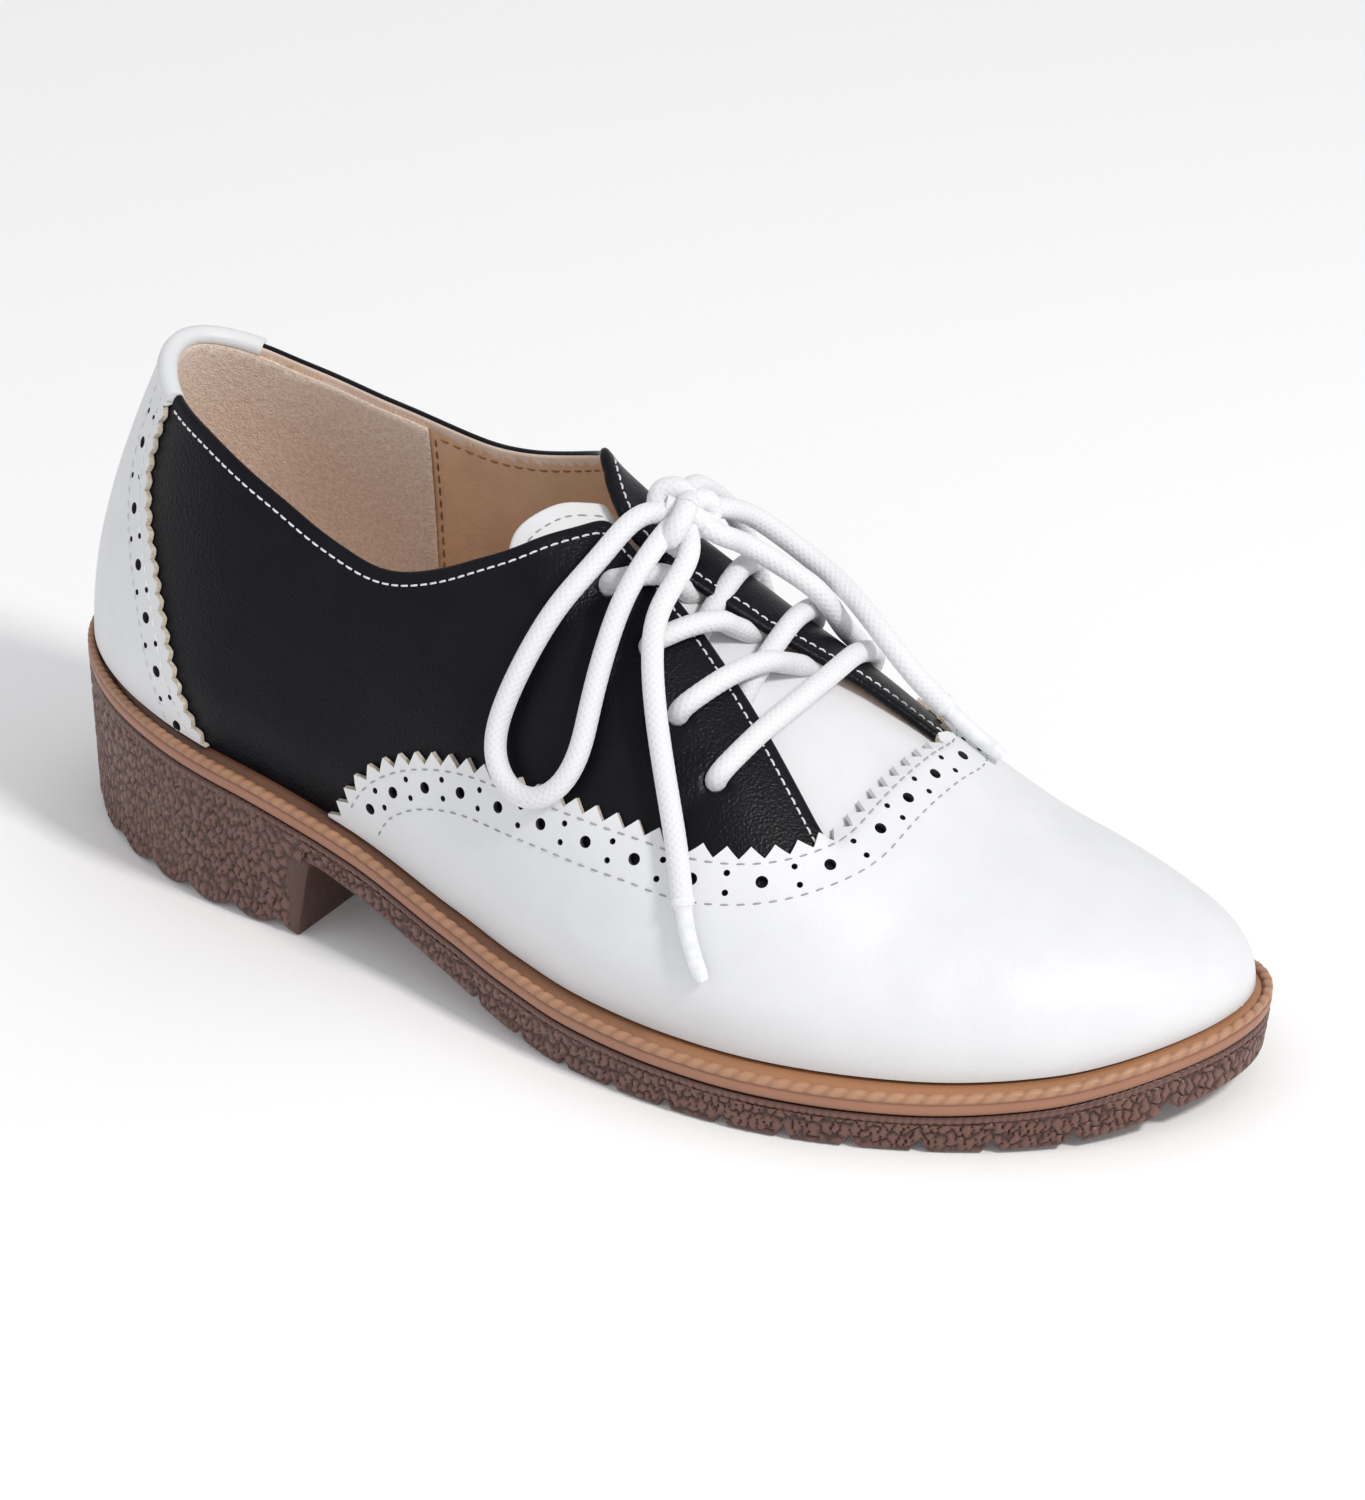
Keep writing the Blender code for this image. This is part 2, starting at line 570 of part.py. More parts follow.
# Each free piece: turn at which it leaves the knot, turn at which it comes back, rows of (s, y, lift)
FREE_LACE = {
    "lace_loop_lateral": (-128, -86, (
        (130.6, -19.0, ON_LACE), (128.4, -27.0, ON_WING + 1.5), (126.0, -34.5, ON_WING),
        (124.6, -38.8, ON_WING), (127.0, -41.1, ON_WING), (133.5, -42.9, ON_WING),
        (140.0, -42.4, ON_WING), (142.4, -39.2, ON_WING), (141.0, -34.0, ON_WING),
        (139.2, -27.0, ON_WING + 1.5), (137.4, -19.5, ON_LACE))),
    "lace_end_lateral": (-40, None, (
        (143.4, -19.0, ON_LACE), (147.2, -25.4, ON_LACE), (152.4, -31.0, ON_WING + 2),
        (158.6, -36.8, ON_WING), (165.2, -42.6, ON_WING), (171.7, -48.4, ON_WING),
        (176.4, -50.2, ON_WING))),
    "lace_loop_medial": (22, 114, (
        (144.0, 4.0, ON_LACE), (148.6, 6.4, ON_LACE), (153.2, 8.0, ON_LACE), (158.0, 10.0, ON_LACE),
        (161.6, 14.0, ON_UPPER + 2), (162.6, 19.5, ON_UPPER), (161.8, 25.0, ON_WING),
        (158.6, 28.2, ON_WING), (152.0, 29.0, ON_WING), (145.4, 27.6, ON_WING), (142.0, 24.0, ON_WING),
        (139.6, 19.0, ON_WING + 2), (136.8, 12.5, ON_LACE))),
    "lace_end_medial": (68, None, (
        (141.4, 10.0, ON_LACE + 2), (146.6, 12.8, ON_LACE + 2), (153.4, 14.4, ON_LACE + 2),
        (161.6, 13.4, ON_LACE + 2), (170.2, 11.8, ON_LACE + 1), (178.4, 13.0, ON_WING + 3),
        (183.6, 17.2, ON_WING + 1), (188.6, 19.0, ON_WING), (196.0, 19.4, ON_WING)))}

build_outsole()
build_welt()
build_insole()
build_upper()
build_tongue()
build_vamp()
build_counter()
build_crossings()
build_knot()
build_free_lace()
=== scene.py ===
"""Looks of a right-foot saddle shoe: leather, lining, stitches, lace, welt and rubber sole.

Tables are in millimetres: s runs from the heel to the toe, y to the inner side of the foot, z up.
A place on the upper is a pair (u, w): u is s unrolled around the heel and the toe, and w runs around
the section from the lateral feather line (-GIRTH) over the ridge (0) to the medial one (+GIRTH).
"""
import math

import bpy
import numpy as np
from mathutils import Matrix, Vector
from mathutils.geometry import delaunay_2d_cdt
from mathutils.kdtree import KDTree


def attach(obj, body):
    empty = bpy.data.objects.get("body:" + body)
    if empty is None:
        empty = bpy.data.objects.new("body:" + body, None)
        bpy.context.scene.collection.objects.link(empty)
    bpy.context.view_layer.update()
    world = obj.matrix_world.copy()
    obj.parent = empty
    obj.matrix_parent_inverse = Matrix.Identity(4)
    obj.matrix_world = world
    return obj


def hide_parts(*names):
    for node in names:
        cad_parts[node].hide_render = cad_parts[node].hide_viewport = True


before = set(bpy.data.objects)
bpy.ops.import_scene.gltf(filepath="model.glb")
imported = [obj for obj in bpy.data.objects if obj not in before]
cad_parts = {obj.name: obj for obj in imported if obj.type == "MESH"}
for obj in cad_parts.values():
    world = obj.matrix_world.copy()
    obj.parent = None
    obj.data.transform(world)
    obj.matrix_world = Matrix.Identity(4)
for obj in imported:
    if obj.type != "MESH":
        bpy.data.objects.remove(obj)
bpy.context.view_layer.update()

MM = 0.001
TINY = 1e-9
PROBE = 0.3            # distance over which slopes of the upper are read
LATERAL, MEDIAL = -1, 1
FIT = 0.3
WALL = 1.8             # upper leather with its lining
OVERLAY_IN = 0.2       # inner and outer face of the wing and the counter over the upper
OVERLAY_OUT = 1.3
TONGUE = 1.4
WELT_HEIGHT = 4.6
INSOLE_ABOVE = 2.4
INSOLE_FIT = 1.2
HEEL_END, TOE_END = 6.5, 254.5
HEEL_ROUND, TOE_ROUND = 52.0, 80.0     # lengths over which the plan closes as an ellipse
NOSE = 46.0            # length of the rounded toe nose
THROAT_FRONT = 186.5
THROAT_TUCK = 5.0      # how far the throat runs on under the wing
THROAT_DIP = 2.5       # how far the wing bends down to the tongue there
COUNTER_BACK, COUNTER_END = 23.4, 54.5
WING_BACK = 84.0
LUG_PITCH, LUG_DEPTH, LUG_HALF = 11.3, 2.3, 1.4
HEEL_LUGS, FORE_LUGS = (15.4, 6), (124.2, 12)     # first groove and number of grooves
HEEL_BREAST = 80.0
LACE = 4.1             # cord diameter
HOLE = 4.8             # punched eyelet, stretched by the cord
GIRTH = 85.0           # half of the section, unrolled
FACING_CORNER = 2.8    # rounding of the facings' top corners
LINING_SEAM = 70.5     # where the suede heel lining meets the smooth front lining
LINING_FOLD = 1.3      # folded edge of the lining along the collar
SUEDE_THICKNESS = 0.7
FOOT_GAP = 0.3         # lower edge of overlays and heel lining over the feather line


def smooth(xs, ys):
    """Monotone cubic through a short table."""
    xs, ys = np.asarray(xs, float), np.asarray(ys, float)
    gap = np.diff(xs)
    rise = np.diff(ys) / gap
    slope = np.zeros(len(xs))
    slope[0], slope[-1] = rise[0], rise[-1]
    for i in range(1, len(xs) - 1):
        if rise[i - 1] * rise[i] > 0:
            w1, w2 = 2 * gap[i] + gap[i - 1], gap[i] + 2 * gap[i - 1]
            slope[i] = (w1 + w2) / (w1 / rise[i - 1] + w2 / rise[i])

    def value(x):
        x = np.clip(np.asarray(x, float), xs[0], xs[-1])
        i = np.clip(np.searchsorted(xs, x) - 1, 0, len(gap) - 1)
        t = (x - xs[i]) / gap[i]
        left = (1 + 2 * t) * (1 - t) ** 2 * ys[i] + t * (1 - t) ** 2 * gap[i] * slope[i]
        right = t * t * (3 - 2 * t) * ys[i + 1] + t * t * (t - 1) * gap[i] * slope[i + 1]
        return left + right
    return value


def table(names, rows):
    """Columns of a short table as smooth functions of its first column."""
    grid = np.array(rows, float)
    return {name: smooth(grid[:, 0], grid[:, k]) for k, name in enumerate(names)}


# The last, a row per section: middle line, half width at the feather line, ridge of the cone, roundness
LAST = table(("s", "centre", "half", "ridge_y", "ridge_z", "power"), (
    (6.5, 2.0, 29.0, 1.0, 128.0, 1.25),
    (35.0, -3.0, 29.0, -2.0, 131.0, 1.25),
    (60.0, -6.0, 29.2, -4.0, 128.0, 1.24),
    (90.0, -7.1, 29.5, -3.0, 117.0, 1.14),
    (116.0, -8.4, 32.2, 0.0, 99.5, 0.95),
    (132.0, -8.8, 35.8, 0.5, 88.2, 0.92),
    (151.0, -8.4, 40.0, 1.5, 76.2, 0.90),
    (170.0, -7.1, 42.6, 3.0, 64.8, 0.90),
    (190.0, -4.8, 43.4, 3.5, 51.6, 0.90),
    (213.0, -0.7, 43.4, 3.5, 41.2, 0.88),
    (235.0, 3.5, 43.4, 5.0, 38.5, 0.85),
    (254.5, 9.0, 43.4, 9.0, 40.0, 0.83)))
# Side view of the sole: top of the welt and underside, both over the floor
SOLE = table(("s", "seat", "arch"), (
    (0.0, 37.4, 0.0), (6.5, 37.0, 0.0), (35.0, 35.0, 0.0), (60.0, 32.6, 0.0),
    (HEEL_BREAST, 28.8, 17.2), (90.0, 26.3, 14.6), (116.0, 19.3, 6.2), (132.0, 16.4, 2.0),
    (146.0, 14.6, 0.0), (170.0, 13.6, 0.0), (190.0, 13.2, 0.0), (213.0, 12.8, 0.0),
    (235.0, 14.2, 1.0), (254.5, 18.5, 5.8), (262.0, 20.5, 8.4)))
# How far the back of the heel leans forward with height
HEEL_CURVE = table(("z", "forward"), (
    (20, 0.5), (37, 0.5), (53, 2.0), (68, 5.5), (80, 9.5), (94, 15.0), (110, 21.5), (131, 30.0)))["forward"]
WELT_WIDTH = table(("s", "width"), (
    (6.5, 2.5), (35, 3.5), (60, 4.0), (100, 4.5), (150, 5.5), (190, 5.8), (254.5, 4.6)))["width"]
# Heights over the feather line: collar edge, top of the wing, front of the counter
COLLAR = {
    LATERAL: table(("s", "height"), (
        (6.5, 61.0), (24, 58.8), (38, 58.0), (50, 56.4), (64, 53.9), (76, 51.9), (86, 51.4), (92, 52.5),
        (97, 54.9), (104, 59.4), (110, 63.8), (116, 67.8), (121.5, 71.6), (127.7, 73.6)))["height"],
    MEDIAL: table(("s", "height"), (
        (6.5, 61.0), (24, 58.6), (36, 57.0), (55, 56.5), (70, 57.4), (84, 58.8), (95, 62.4), (106, 68.3),
        (112, 72.2), (118.5, 77.0)))["height"]}
WING_REAR = (
    (WING_BACK, 0.9), (86, 4.8), (90.2, 12.9), (97, 20.5), (106.3, 27.5), (116, 32.2), (131, 35.6))
WING = {
    LATERAL: table(("s", "height"), WING_REAR + (
        (145, 37.2), (158, 36.8), (168, 35.2), (176, 35.0), (183, 35.6), (THROAT_FRONT, 36.6)))["height"],
    MEDIAL: table(("s", "height"), WING_REAR + (
        (145, 37.0), (158, 36.8), (168, 36.4), (178, 37.2), (THROAT_FRONT, 38.7)))["height"]}
COUNTER_FRONT = table(("s", "height"), (
    (6.5, 60.2), (COUNTER_BACK, 58.2), (24.3, 50.0), (25.6, 45.0), (29.7, 38.3), (36, 30.0), (41.6, 21.2),
    (46.5, 12.0), (51, 4.3), (COUNTER_END, 0.9)))["height"]
# Distance of the facing edges from the frame's middle plane; the throat is a V, nearly shut at the top
FACING_TOP = {LATERAL: 127.7, MEDIAL: 118.5}
FACING = {
    LATERAL: table(("s", "y"), (
        (127.7, -8.6), (134, -9.0), (141, -10.0), (148, -11.5), (160.4, -15.6), (176, -22.2),
        (THROAT_FRONT, -26.8)))["y"],
    MEDIAL: table(("s", "y"), (
        (118.5, 3.0), (121.5, 0.2), (125, -3.0), (129.5, -5.4), (134, -5.4), (139.5, -4.4), (148, -1.7),
        (158.8, 2.4), (169, 7.6), (177, 12.2), (THROAT_FRONT, 16.5)))["y"]}
# The tongue: how far it reaches under each facing, and its depth under the skin, pushed down by the lace
TONGUE_SPREAD = table(("s", "lateral", "medial"), (
    (114.5, 15, -16), (118, 17.5, -9.6), (121.6, 15.5, -2), (126, 12, 1.5), (132, 10, 6), (140, 9, 8),
    (150, 9, 8), (197, 7, 5)))
TONGUE_DEPTH = table(("s", "depth"), (
    (114.5, 5.0), (122, 4.6), (130, 4.4), (140, 4.6), (164, 4.6), (176, 3.2), (186, 2.1),
    (197, 2.1)))["depth"]
# Eyelet pairs from the front one up, as (s, y)
EYELETS = {
    LATERAL: ((166.0, -32.3), (155.0, -27.8), (145.0, -22.0), (133.8, -18.2)),
    MEDIAL: ((167.5, 23.5), (156.5, 20.0), (144.5, 16.5), (134.0, 13.0))}
# Soft troughs and ridges of the leather, each along a line: s, y to s, y, half width, height
CREASES = (
    (118.5, 3.0, 127.0, -4.5, 4.0, 1.5),
    (104.0, -31.0, 120.0, -36.0, 6.0, -0.5),
    (112.0, -27.0, 126.0, -27.0, 5.0, 0.4),
    (110.0, 28.0, 124.0, 32.0, 6.0, -0.5),
    (203.0, -34.0, 199.0, 16.0, 4.5, -0.3),
    (211.0, -35.0, 207.0, 18.0, 4.5, 0.2),
    (219.0, -33.0, 215.0, 20.0, 5.0, -0.2))
EYELET_PULL = (-2.5, 6.0, 2.2, -0.35)     # trough beside an eyelet: along, outwards, half width, height


def seat(s):
    return SOLE["seat"](s)


def closing(s):
    """Plan width factor: 1 along the foot, closing as an ellipse at the heel and at the toe."""
    heel = np.clip(HEEL_END + HEEL_ROUND - s, 0, None) / HEEL_ROUND
    toe = np.clip(s - TOE_END + TOE_ROUND, 0, None) / TOE_ROUND
    return np.sqrt(np.clip(1 - heel ** 2, 0, 1) * np.clip(1 - toe ** 2, 0, 1))


def cone_height(s):
    """Height of the ridge over the feather line, rounded down at the toe nose."""
    nose = np.clip(s - TOE_END + NOSE, 0, None) / NOSE
    return (LAST["ridge_z"](s) - seat(s)) * np.clip(1 - nose ** 2.2, 0, 1) ** 0.5


def skin(s, v):
    """Outer face of the upper; v runs from -1 (lateral feather line) over 0 (ridge) to +1 (medial)."""
    s, v = np.broadcast_arrays(np.asarray(s, float), np.asarray(v, float))
    closed = closing(s)
    centre = LAST["centre"](s)
    ridge = centre + (LAST["ridge_y"](s) - centre) * closed
    edge = centre + np.where(v < 0, LATERAL, MEDIAL) * LAST["half"](s) * closed
    angle = (1 - np.abs(v)) * math.pi / 2
    rise = cone_height(s) * np.sin(angle) ** LAST["power"](s)
    low = np.clip(rise / 14.0, 0, 1)
    bulge = 1 + 0.05 * low * low * (3 - 2 * low)
    y = ridge + (edge - ridge) * np.cos(angle) ** LAST["power"](s) * bulge
    z = seat(s) + FIT + rise
    lean = HEEL_CURVE(z) * np.clip(1 - (s - HEEL_END) / 110.0, 0, 1) ** 2
    return np.stack([s + lean, y, z], -1)


def v_at_height(s, height, side):
    """Surface parameter at a height over the feather line."""
    share = np.clip(height / np.maximum(cone_height(s), 1e-6), 0, 1)
    angle = np.arcsin(share ** (1 / LAST["power"](s)))
    return side * (1 - 2 * angle / math.pi)


def v_at_y(s, y):
    """Surface parameter at a distance y, on the upper part of the section."""
    v = np.linspace(-0.85, 0.85, 341)
    return float(np.interp(y, skin(s, v)[:, 1], v))


def skin_point(s, y, lift):
    """A point over the upper at (s, y), lifted along the surface normal."""
    v = v_at_y(s, y)
    along = skin(s + 0.5, v) - skin(s - 0.5, v)
    across = skin(s, v + 0.01) - skin(s, v - 0.01)
    normal = np.cross(along, across)
    return skin(s, v) + normal / np.linalg.norm(normal) * lift


# Unrolled places


def unroll(s):
    heel = np.arcsin(np.clip((HEEL_END + HEEL_ROUND - s) / HEEL_ROUND, 0, 1))
    toe = np.arcsin(np.clip((s - TOE_END + TOE_ROUND) / TOE_ROUND, 0, 1))
    return np.clip(s, HEEL_END + HEEL_ROUND, TOE_END - TOE_ROUND) - HEEL_ROUND * heel + TOE_ROUND * toe


def roll(u):
    heel = np.clip((HEEL_END + HEEL_ROUND - u) / HEEL_ROUND, 0, math.pi / 2)
    toe = np.clip((u - TOE_END + TOE_ROUND) / TOE_ROUND, 0, math.pi / 2)
    middle = np.clip(u, HEEL_END + HEEL_ROUND, TOE_END - TOE_ROUND)
    return middle - HEEL_ROUND * np.sin(heel) + TOE_ROUND * np.sin(toe)


U_HEEL, U_TOE = float(unroll(HEEL_END)), float(unroll(TOE_END)) - 0.6


def crease_lines():
    """Ends, half width and height of each trough or ridge, those beside the eyelets too."""
    rows = list(CREASES)
    along, outwards, reach, height = EYELET_PULL
    for side in (LATERAL, MEDIAL):
        rows += [(s, y, s + along, y + side * outwards, reach, height) for s, y in EYELETS[side]]
    return [(skin_point(a, b, 0), skin_point(c, d, 0), reach, height) for a, b, c, d, reach, height in rows]


CREASE_LINES = crease_lines()


def sway(points):
    """How far the leather stands off the last at points of its surface."""
    total = np.zeros(len(points))
    for start, end, reach, height in CREASE_LINES:
        way = end - start
        share = np.clip((points - start) @ way / (way @ way), 0, 1)
        apart = np.linalg.norm(points - start - share[:, None] * way, axis=1)
        total += height * np.exp(-(apart / reach) ** 2)
    return total


def bare(p):
    return skin(roll(p[:, 0]), np.clip(p[:, 1] / GIRTH, -1, 1))


def place(p):
    """Points of the upper at unrolled places, its creases included."""
    points = bare(p)
    along = bare(p + (PROBE, 0.0)) - bare(p - (PROBE, 0.0))
    across = bare(p + (0.0, PROBE)) - bare(p - (0.0, PROBE))
    normal = np.cross(along, across)
    normal /= np.maximum(np.linalg.norm(normal, axis=1, keepdims=True), TINY)
    return points + normal * sway(points)[:, None]


def steps(p, way):
    """Steps of one millimetre along a way and to its right, in the unrolled plane."""
    u_step, w_step = np.array((PROBE, 0.0)), np.array((0.0, PROBE))
    along = (place(p + u_step) - place(p - u_step)) / (2 * PROBE)
    across = (place(p + w_step) - place(p - w_step)) / (2 * PROBE)
    forward = along * way[:, :1] + across * way[:, 1:]
    right = np.stack([(across * forward).sum(1), -(along * forward).sum(1)], -1)
    sideways = along * right[:, :1] + across * right[:, 1:]
    return (way / np.maximum(np.linalg.norm(forward, axis=1, keepdims=True), TINY),
            right / np.maximum(np.linalg.norm(sideways, axis=1, keepdims=True), TINY))


def travelled(p):
    return np.concatenate([[0], np.cumsum(np.linalg.norm(np.diff(place(p), axis=0), axis=1))])


def even(p, step):
    """The line again, with points a step apart on the surface."""
    length = travelled(p)
    count = max(2, int(round(length[-1] / step)))
    at = np.linspace(0, length[-1], count + 1)
    return np.stack([np.interp(at, length, p[:, k]) for k in (0, 1)], -1)


def offset(line, distance):
    """The line moved to its right, on the surface."""
    _, right = steps(line, np.gradient(line, axis=0))
    return line + right * np.reshape(distance, (-1, 1))


def rounded(line, radius):
    """The line with its corners eased over about a radius; its ends stay."""
    fine = even(line, 0.5)
    reach = int(4 * radius)
    weight = np.exp(-0.5 * (np.arange(-reach, reach + 1) / (2 * radius)) ** 2)
    head, tail = 2 * fine[0] - fine[reach:0:-1], 2 * fine[-1] - fine[-2:-reach - 2:-1]
    padded = np.vstack([head, fine, tail])
    return np.stack([np.convolve(padded[:, k], weight / weight.sum(), "valid") for k in (0, 1)], -1)


# Lines of the pattern, each with its leather on the right


def at_height(s_list, heights, side):
    return np.stack([unroll(s_list), v_at_height(s_list, heights, side) * GIRTH], -1)


def at_y(s_list, y_list):
    return np.array([(unroll(s), v_at_y(s, y) * GIRTH) for s, y in zip(s_list, y_list)])


def collar_line(side, start, end=THROAT_FRONT + THROAT_TUCK):
    """Collar from the heel, then the facing down to the throat; the medial one runs the other way."""
    collar = np.arange(start, FACING_TOP[side], 0.8)
    facing = np.append(np.arange(FACING_TOP[side], end, 0.8), end)
    line = np.vstack([at_height(collar, COLLAR[side](collar), side), at_y(facing, FACING[side](facing))])
    return line if side == LATERAL else line[::-1]


def wing_line():
    s = np.append(np.arange(WING_BACK, THROAT_FRONT, 0.5), THROAT_FRONT)
    lateral = at_height(s, WING[LATERAL](s), LATERAL)
    medial = at_height(s, WING[MEDIAL](s), MEDIAL)[::-1]
    return rounded(np.vstack([lateral, medial]), 3.0)


def counter_line(side):
    s = np.append(np.arange(COUNTER_BACK, COUNTER_END, 0.25), COUNTER_END)
    line = rounded(at_height(s, COUNTER_FRONT(s), side), 1.0)
    return line if side == LATERAL else line[::-1]


def foot_line(side, start, end, height):
    u = np.arange(unroll(start), unroll(end), 1.0)
    s = roll(np.append(u, min(float(unroll(end)), U_TOE)))
    return at_height(s, height, side)


def pinked(line, pitch, depth, sharpness):
    """Saw-tooth outline of a pinked edge, tips on the line; a lower sharpness rounds the teeth."""
    fine = even(line, pitch / PINK_POINTS)
    phase = np.arange(len(fine)) % PINK_POINTS / PINK_POINTS
    tooth = 1 - np.abs(2 * phase - 1)
    return offset(fine, depth * (sharpness * tooth + (1 - sharpness) * tooth ** 2))


def circle(centre, way, radius, sides):
    forward, right = steps(centre[None], way[None])
    turn = np.arange(sides) * 2 * math.pi / sides
    return centre + radius * (np.outer(np.cos(turn), forward[0]) + np.outer(np.sin(turn), right[0]))


def brogue(line, inset, margin):
    """Punched holes along an edge: a large one, then a pair of small ones."""
    fine = even(line, BROGUE_PITCH / 2)
    middle = offset(fine, inset)
    way = np.gradient(middle, axis=0)
    _, right = steps(middle, way)
    holes = []
    for k in range(margin, len(fine) - margin):
        if k % 2 == 0:
            holes.append(circle(middle[k], way[k], BROGUE_LARGE, 14))
        else:
            for side in (-1, 1):
                holes.append(circle(middle[k] + side * BROGUE_PAIR * right[k], way[k], BROGUE_SMALL, 10))
    return holes


PINK_POINTS = 8
WING_TEETH = (4.3, 2.4, 1.0)           # pitch, depth, sharpness
COUNTER_TEETH = (3.3, 1.2, 0.4)
BROGUE_PITCH, BROGUE_LARGE, BROGUE_SMALL, BROGUE_PAIR = 10.4, 1.15, 0.6, 1.8


# Sheets and shells


def inside(points, loops):
    """Which points lie inside the first loop and outside the others."""
    odd = np.zeros(len(points), bool)
    x, y = points[:, 0], points[:, 1]
    for loop in loops:
        for (ax, ay), (bx, by) in zip(loop, np.roll(loop, -1, 0)):
            if ay != by:
                cross = ((ay > y) != (by > y)) & (x < (bx - ax) * (y - ay) / (by - ay) + ax)
                odd ^= cross
    return odd


def fill(outline, holes, spacing):
    """Triangles inside an outline and outside its holes, in the unrolled plane."""
    loops = [outline, *holes]
    points, edges = np.vstack(loops), []
    start = 0
    for loop in loops:
        count = len(loop)
        edges += [(start + k, start + (k + 1) % count) for k in range(count)]
        start += count
    low, high = outline.min(0), outline.max(0)
    u, w = np.meshgrid(np.arange(low[0], high[0], spacing), np.arange(low[1], high[1], spacing))
    u[1::2] += spacing / 2
    grid = np.stack([u.ravel(), w.ravel()], -1)
    grid = grid[inside(grid, loops)]
    tree = KDTree(len(points))
    for k, (a, b) in enumerate(points):
        tree.insert((a, b, 0), k)
    tree.balance()
    apart = np.array([tree.find((a, b, 0))[2] for a, b in grid])
    points = np.vstack([points, grid[apart > 0.5 * spacing]])
    verts, _, tris, *_ = delaunay_2d_cdt(points.tolist(), edges, [], 0, 1e-6, False)
    verts, tris = np.array(verts), np.array(tris)
    tris = tris[inside(verts[tris].mean(1), loops)]
    a, b, c = verts[tris[:, 0]], verts[tris[:, 1]], verts[tris[:, 2]]
    turned = (b[:, 0] - a[:, 0]) * (c[:, 1] - a[:, 1]) < (b[:, 1] - a[:, 1]) * (c[:, 0] - a[:, 0])
    tris[turned] = tris[turned][:, ::-1]
    return verts, tris


def sheet(regions, spacing):
    """Regions of the unrolled plane as one sheet on the upper, joined where they meet."""
    places, tris, start = [], [], 0
    for outline, holes in regions:
        verts, faces = fill(outline, holes, spacing)
        places.append(verts)
        tris.append(faces + start)
        start += len(verts)
    points = place(np.vstack(places))
    _, first, index = np.unique(np.round(points, 3), axis=0, return_index=True, return_inverse=True)
    tris = index.ravel()[np.vstack(tris)]
    whole = (tris[:, 0] != tris[:, 1]) & (tris[:, 1] != tris[:, 2]) & (tris[:, 2] != tris[:, 0])
    return points[first], tris[whole]


def normals(points, tris):
    area = np.cross(points[tris[:, 1]] - points[tris[:, 0]], points[tris[:, 2]] - points[tris[:, 0]])
    total = np.zeros_like(points)
    for k in range(3):
        np.add.at(total, tris[:, k], area)
    return total / np.maximum(np.linalg.norm(total, axis=1, keepdims=True), 1e-12)


OUTER, INNER, EDGE_OUT, EDGE_IN, PUNCHED = range(5)


def shell(points, tris, outer, inner, bend=None, rim=4):
    """Closed piece between two offsets of a sheet, with its rim rounded in steps, or cut flat in one."""
    normal = normals(points, tris)
    if bend is not None:
        points = points + normal * bend[:, None]
    count = len(points)
    edges = np.vstack([tris[:, (0, 1)], tris[:, (1, 2)], tris[:, (2, 0)]])
    known = set(map(tuple, edges))
    border = np.array([edge for edge in map(tuple, edges) if edge[::-1] not in known])
    away = np.zeros_like(points)
    side = np.cross(points[border[:, 1]] - points[border[:, 0]], normal[border[:, 0]])
    np.add.at(away, border[:, 0], side)
    np.add.at(away, border[:, 1], side)
    away /= np.maximum(np.linalg.norm(away, axis=1, keepdims=True), 1e-12)
    half, middle = (outer - inner) / 2, (outer + inner) / 2
    rings = [points + normal * outer]
    for k in range(1, rim):
        turn = math.pi * k / rim
        rings.append(points + normal * (middle + half * math.cos(turn)) + away * half * math.sin(turn))
    rings.append(points + normal * inner)
    faces = [tris, tris[:, ::-1] + rim * count]
    zones = [np.full(len(tris), OUTER), np.full(len(tris), INNER)]
    walls = []
    for k in range(rim):
        a, b = border[:, 0], border[:, 1]
        walls.append(np.stack([b + k * count, a + k * count, a + (k + 1) * count, b + (k + 1) * count], -1))
        zones.append(np.full(len(border), EDGE_OUT if 4 * k < 3 * rim else EDGE_IN))
    loops = [list(map(int, face)) for group in faces + walls for face in group]
    verts = np.vstack(rings)
    used = np.unique(np.concatenate([np.ravel(f) for f in faces + walls]))
    number = np.full(len(verts), -1)
    number[used] = np.arange(len(used))
    return verts[used], [[int(number[k]) for k in loop] for loop in loops], np.concatenate(zones)


def feather_line(s_list):
    """Closed plan loop where the upper meets the welt, with outward normals and the welt width."""
    lateral = skin(s_list, np.full(len(s_list), -1.0))[:, :2]
    medial = skin(s_list, np.full(len(s_list), 1.0))[:, :2]
    loop = np.vstack([lateral, medial[-2:0:-1]])
    width = np.concatenate([WELT_WIDTH(s_list), WELT_WIDTH(s_list)[-2:0:-1]])
    along = np.roll(loop, -1, 0) - np.roll(loop, 1, 0)
    normal = np.stack([along[:, 1], -along[:, 0]], -1)
    return loop, normal / np.linalg.norm(normal, axis=1, keepdims=True), width


def rim_middle():
    """Middle of the welt's rim in plan, which is the frame's origin."""
    q = np.linspace(0, 1, 47)
    mixed = 0.25 * q + 0.75 * (1 - np.cos(math.pi * q)) / 2
    loop, normal, width = feather_line(HEEL_END + (TOE_END - HEEL_END) * mixed)
    rim = loop + normal * width[:, None]
    return np.array([*(rim.min(0) + rim.max(0)) / 2, 0.0])


ORIGIN = rim_middle()


def ring_faces(count, levels, closed):
    """Side faces between stacked rings of one length."""
    faces = []
    for k in range(levels if closed else levels - 1):
        low, high = k * count, (k + 1) % levels * count
        for i in range(count):
            j = (i + 1) % count
            faces.append([low + i, low + j, high + j, high + i])
    return faces


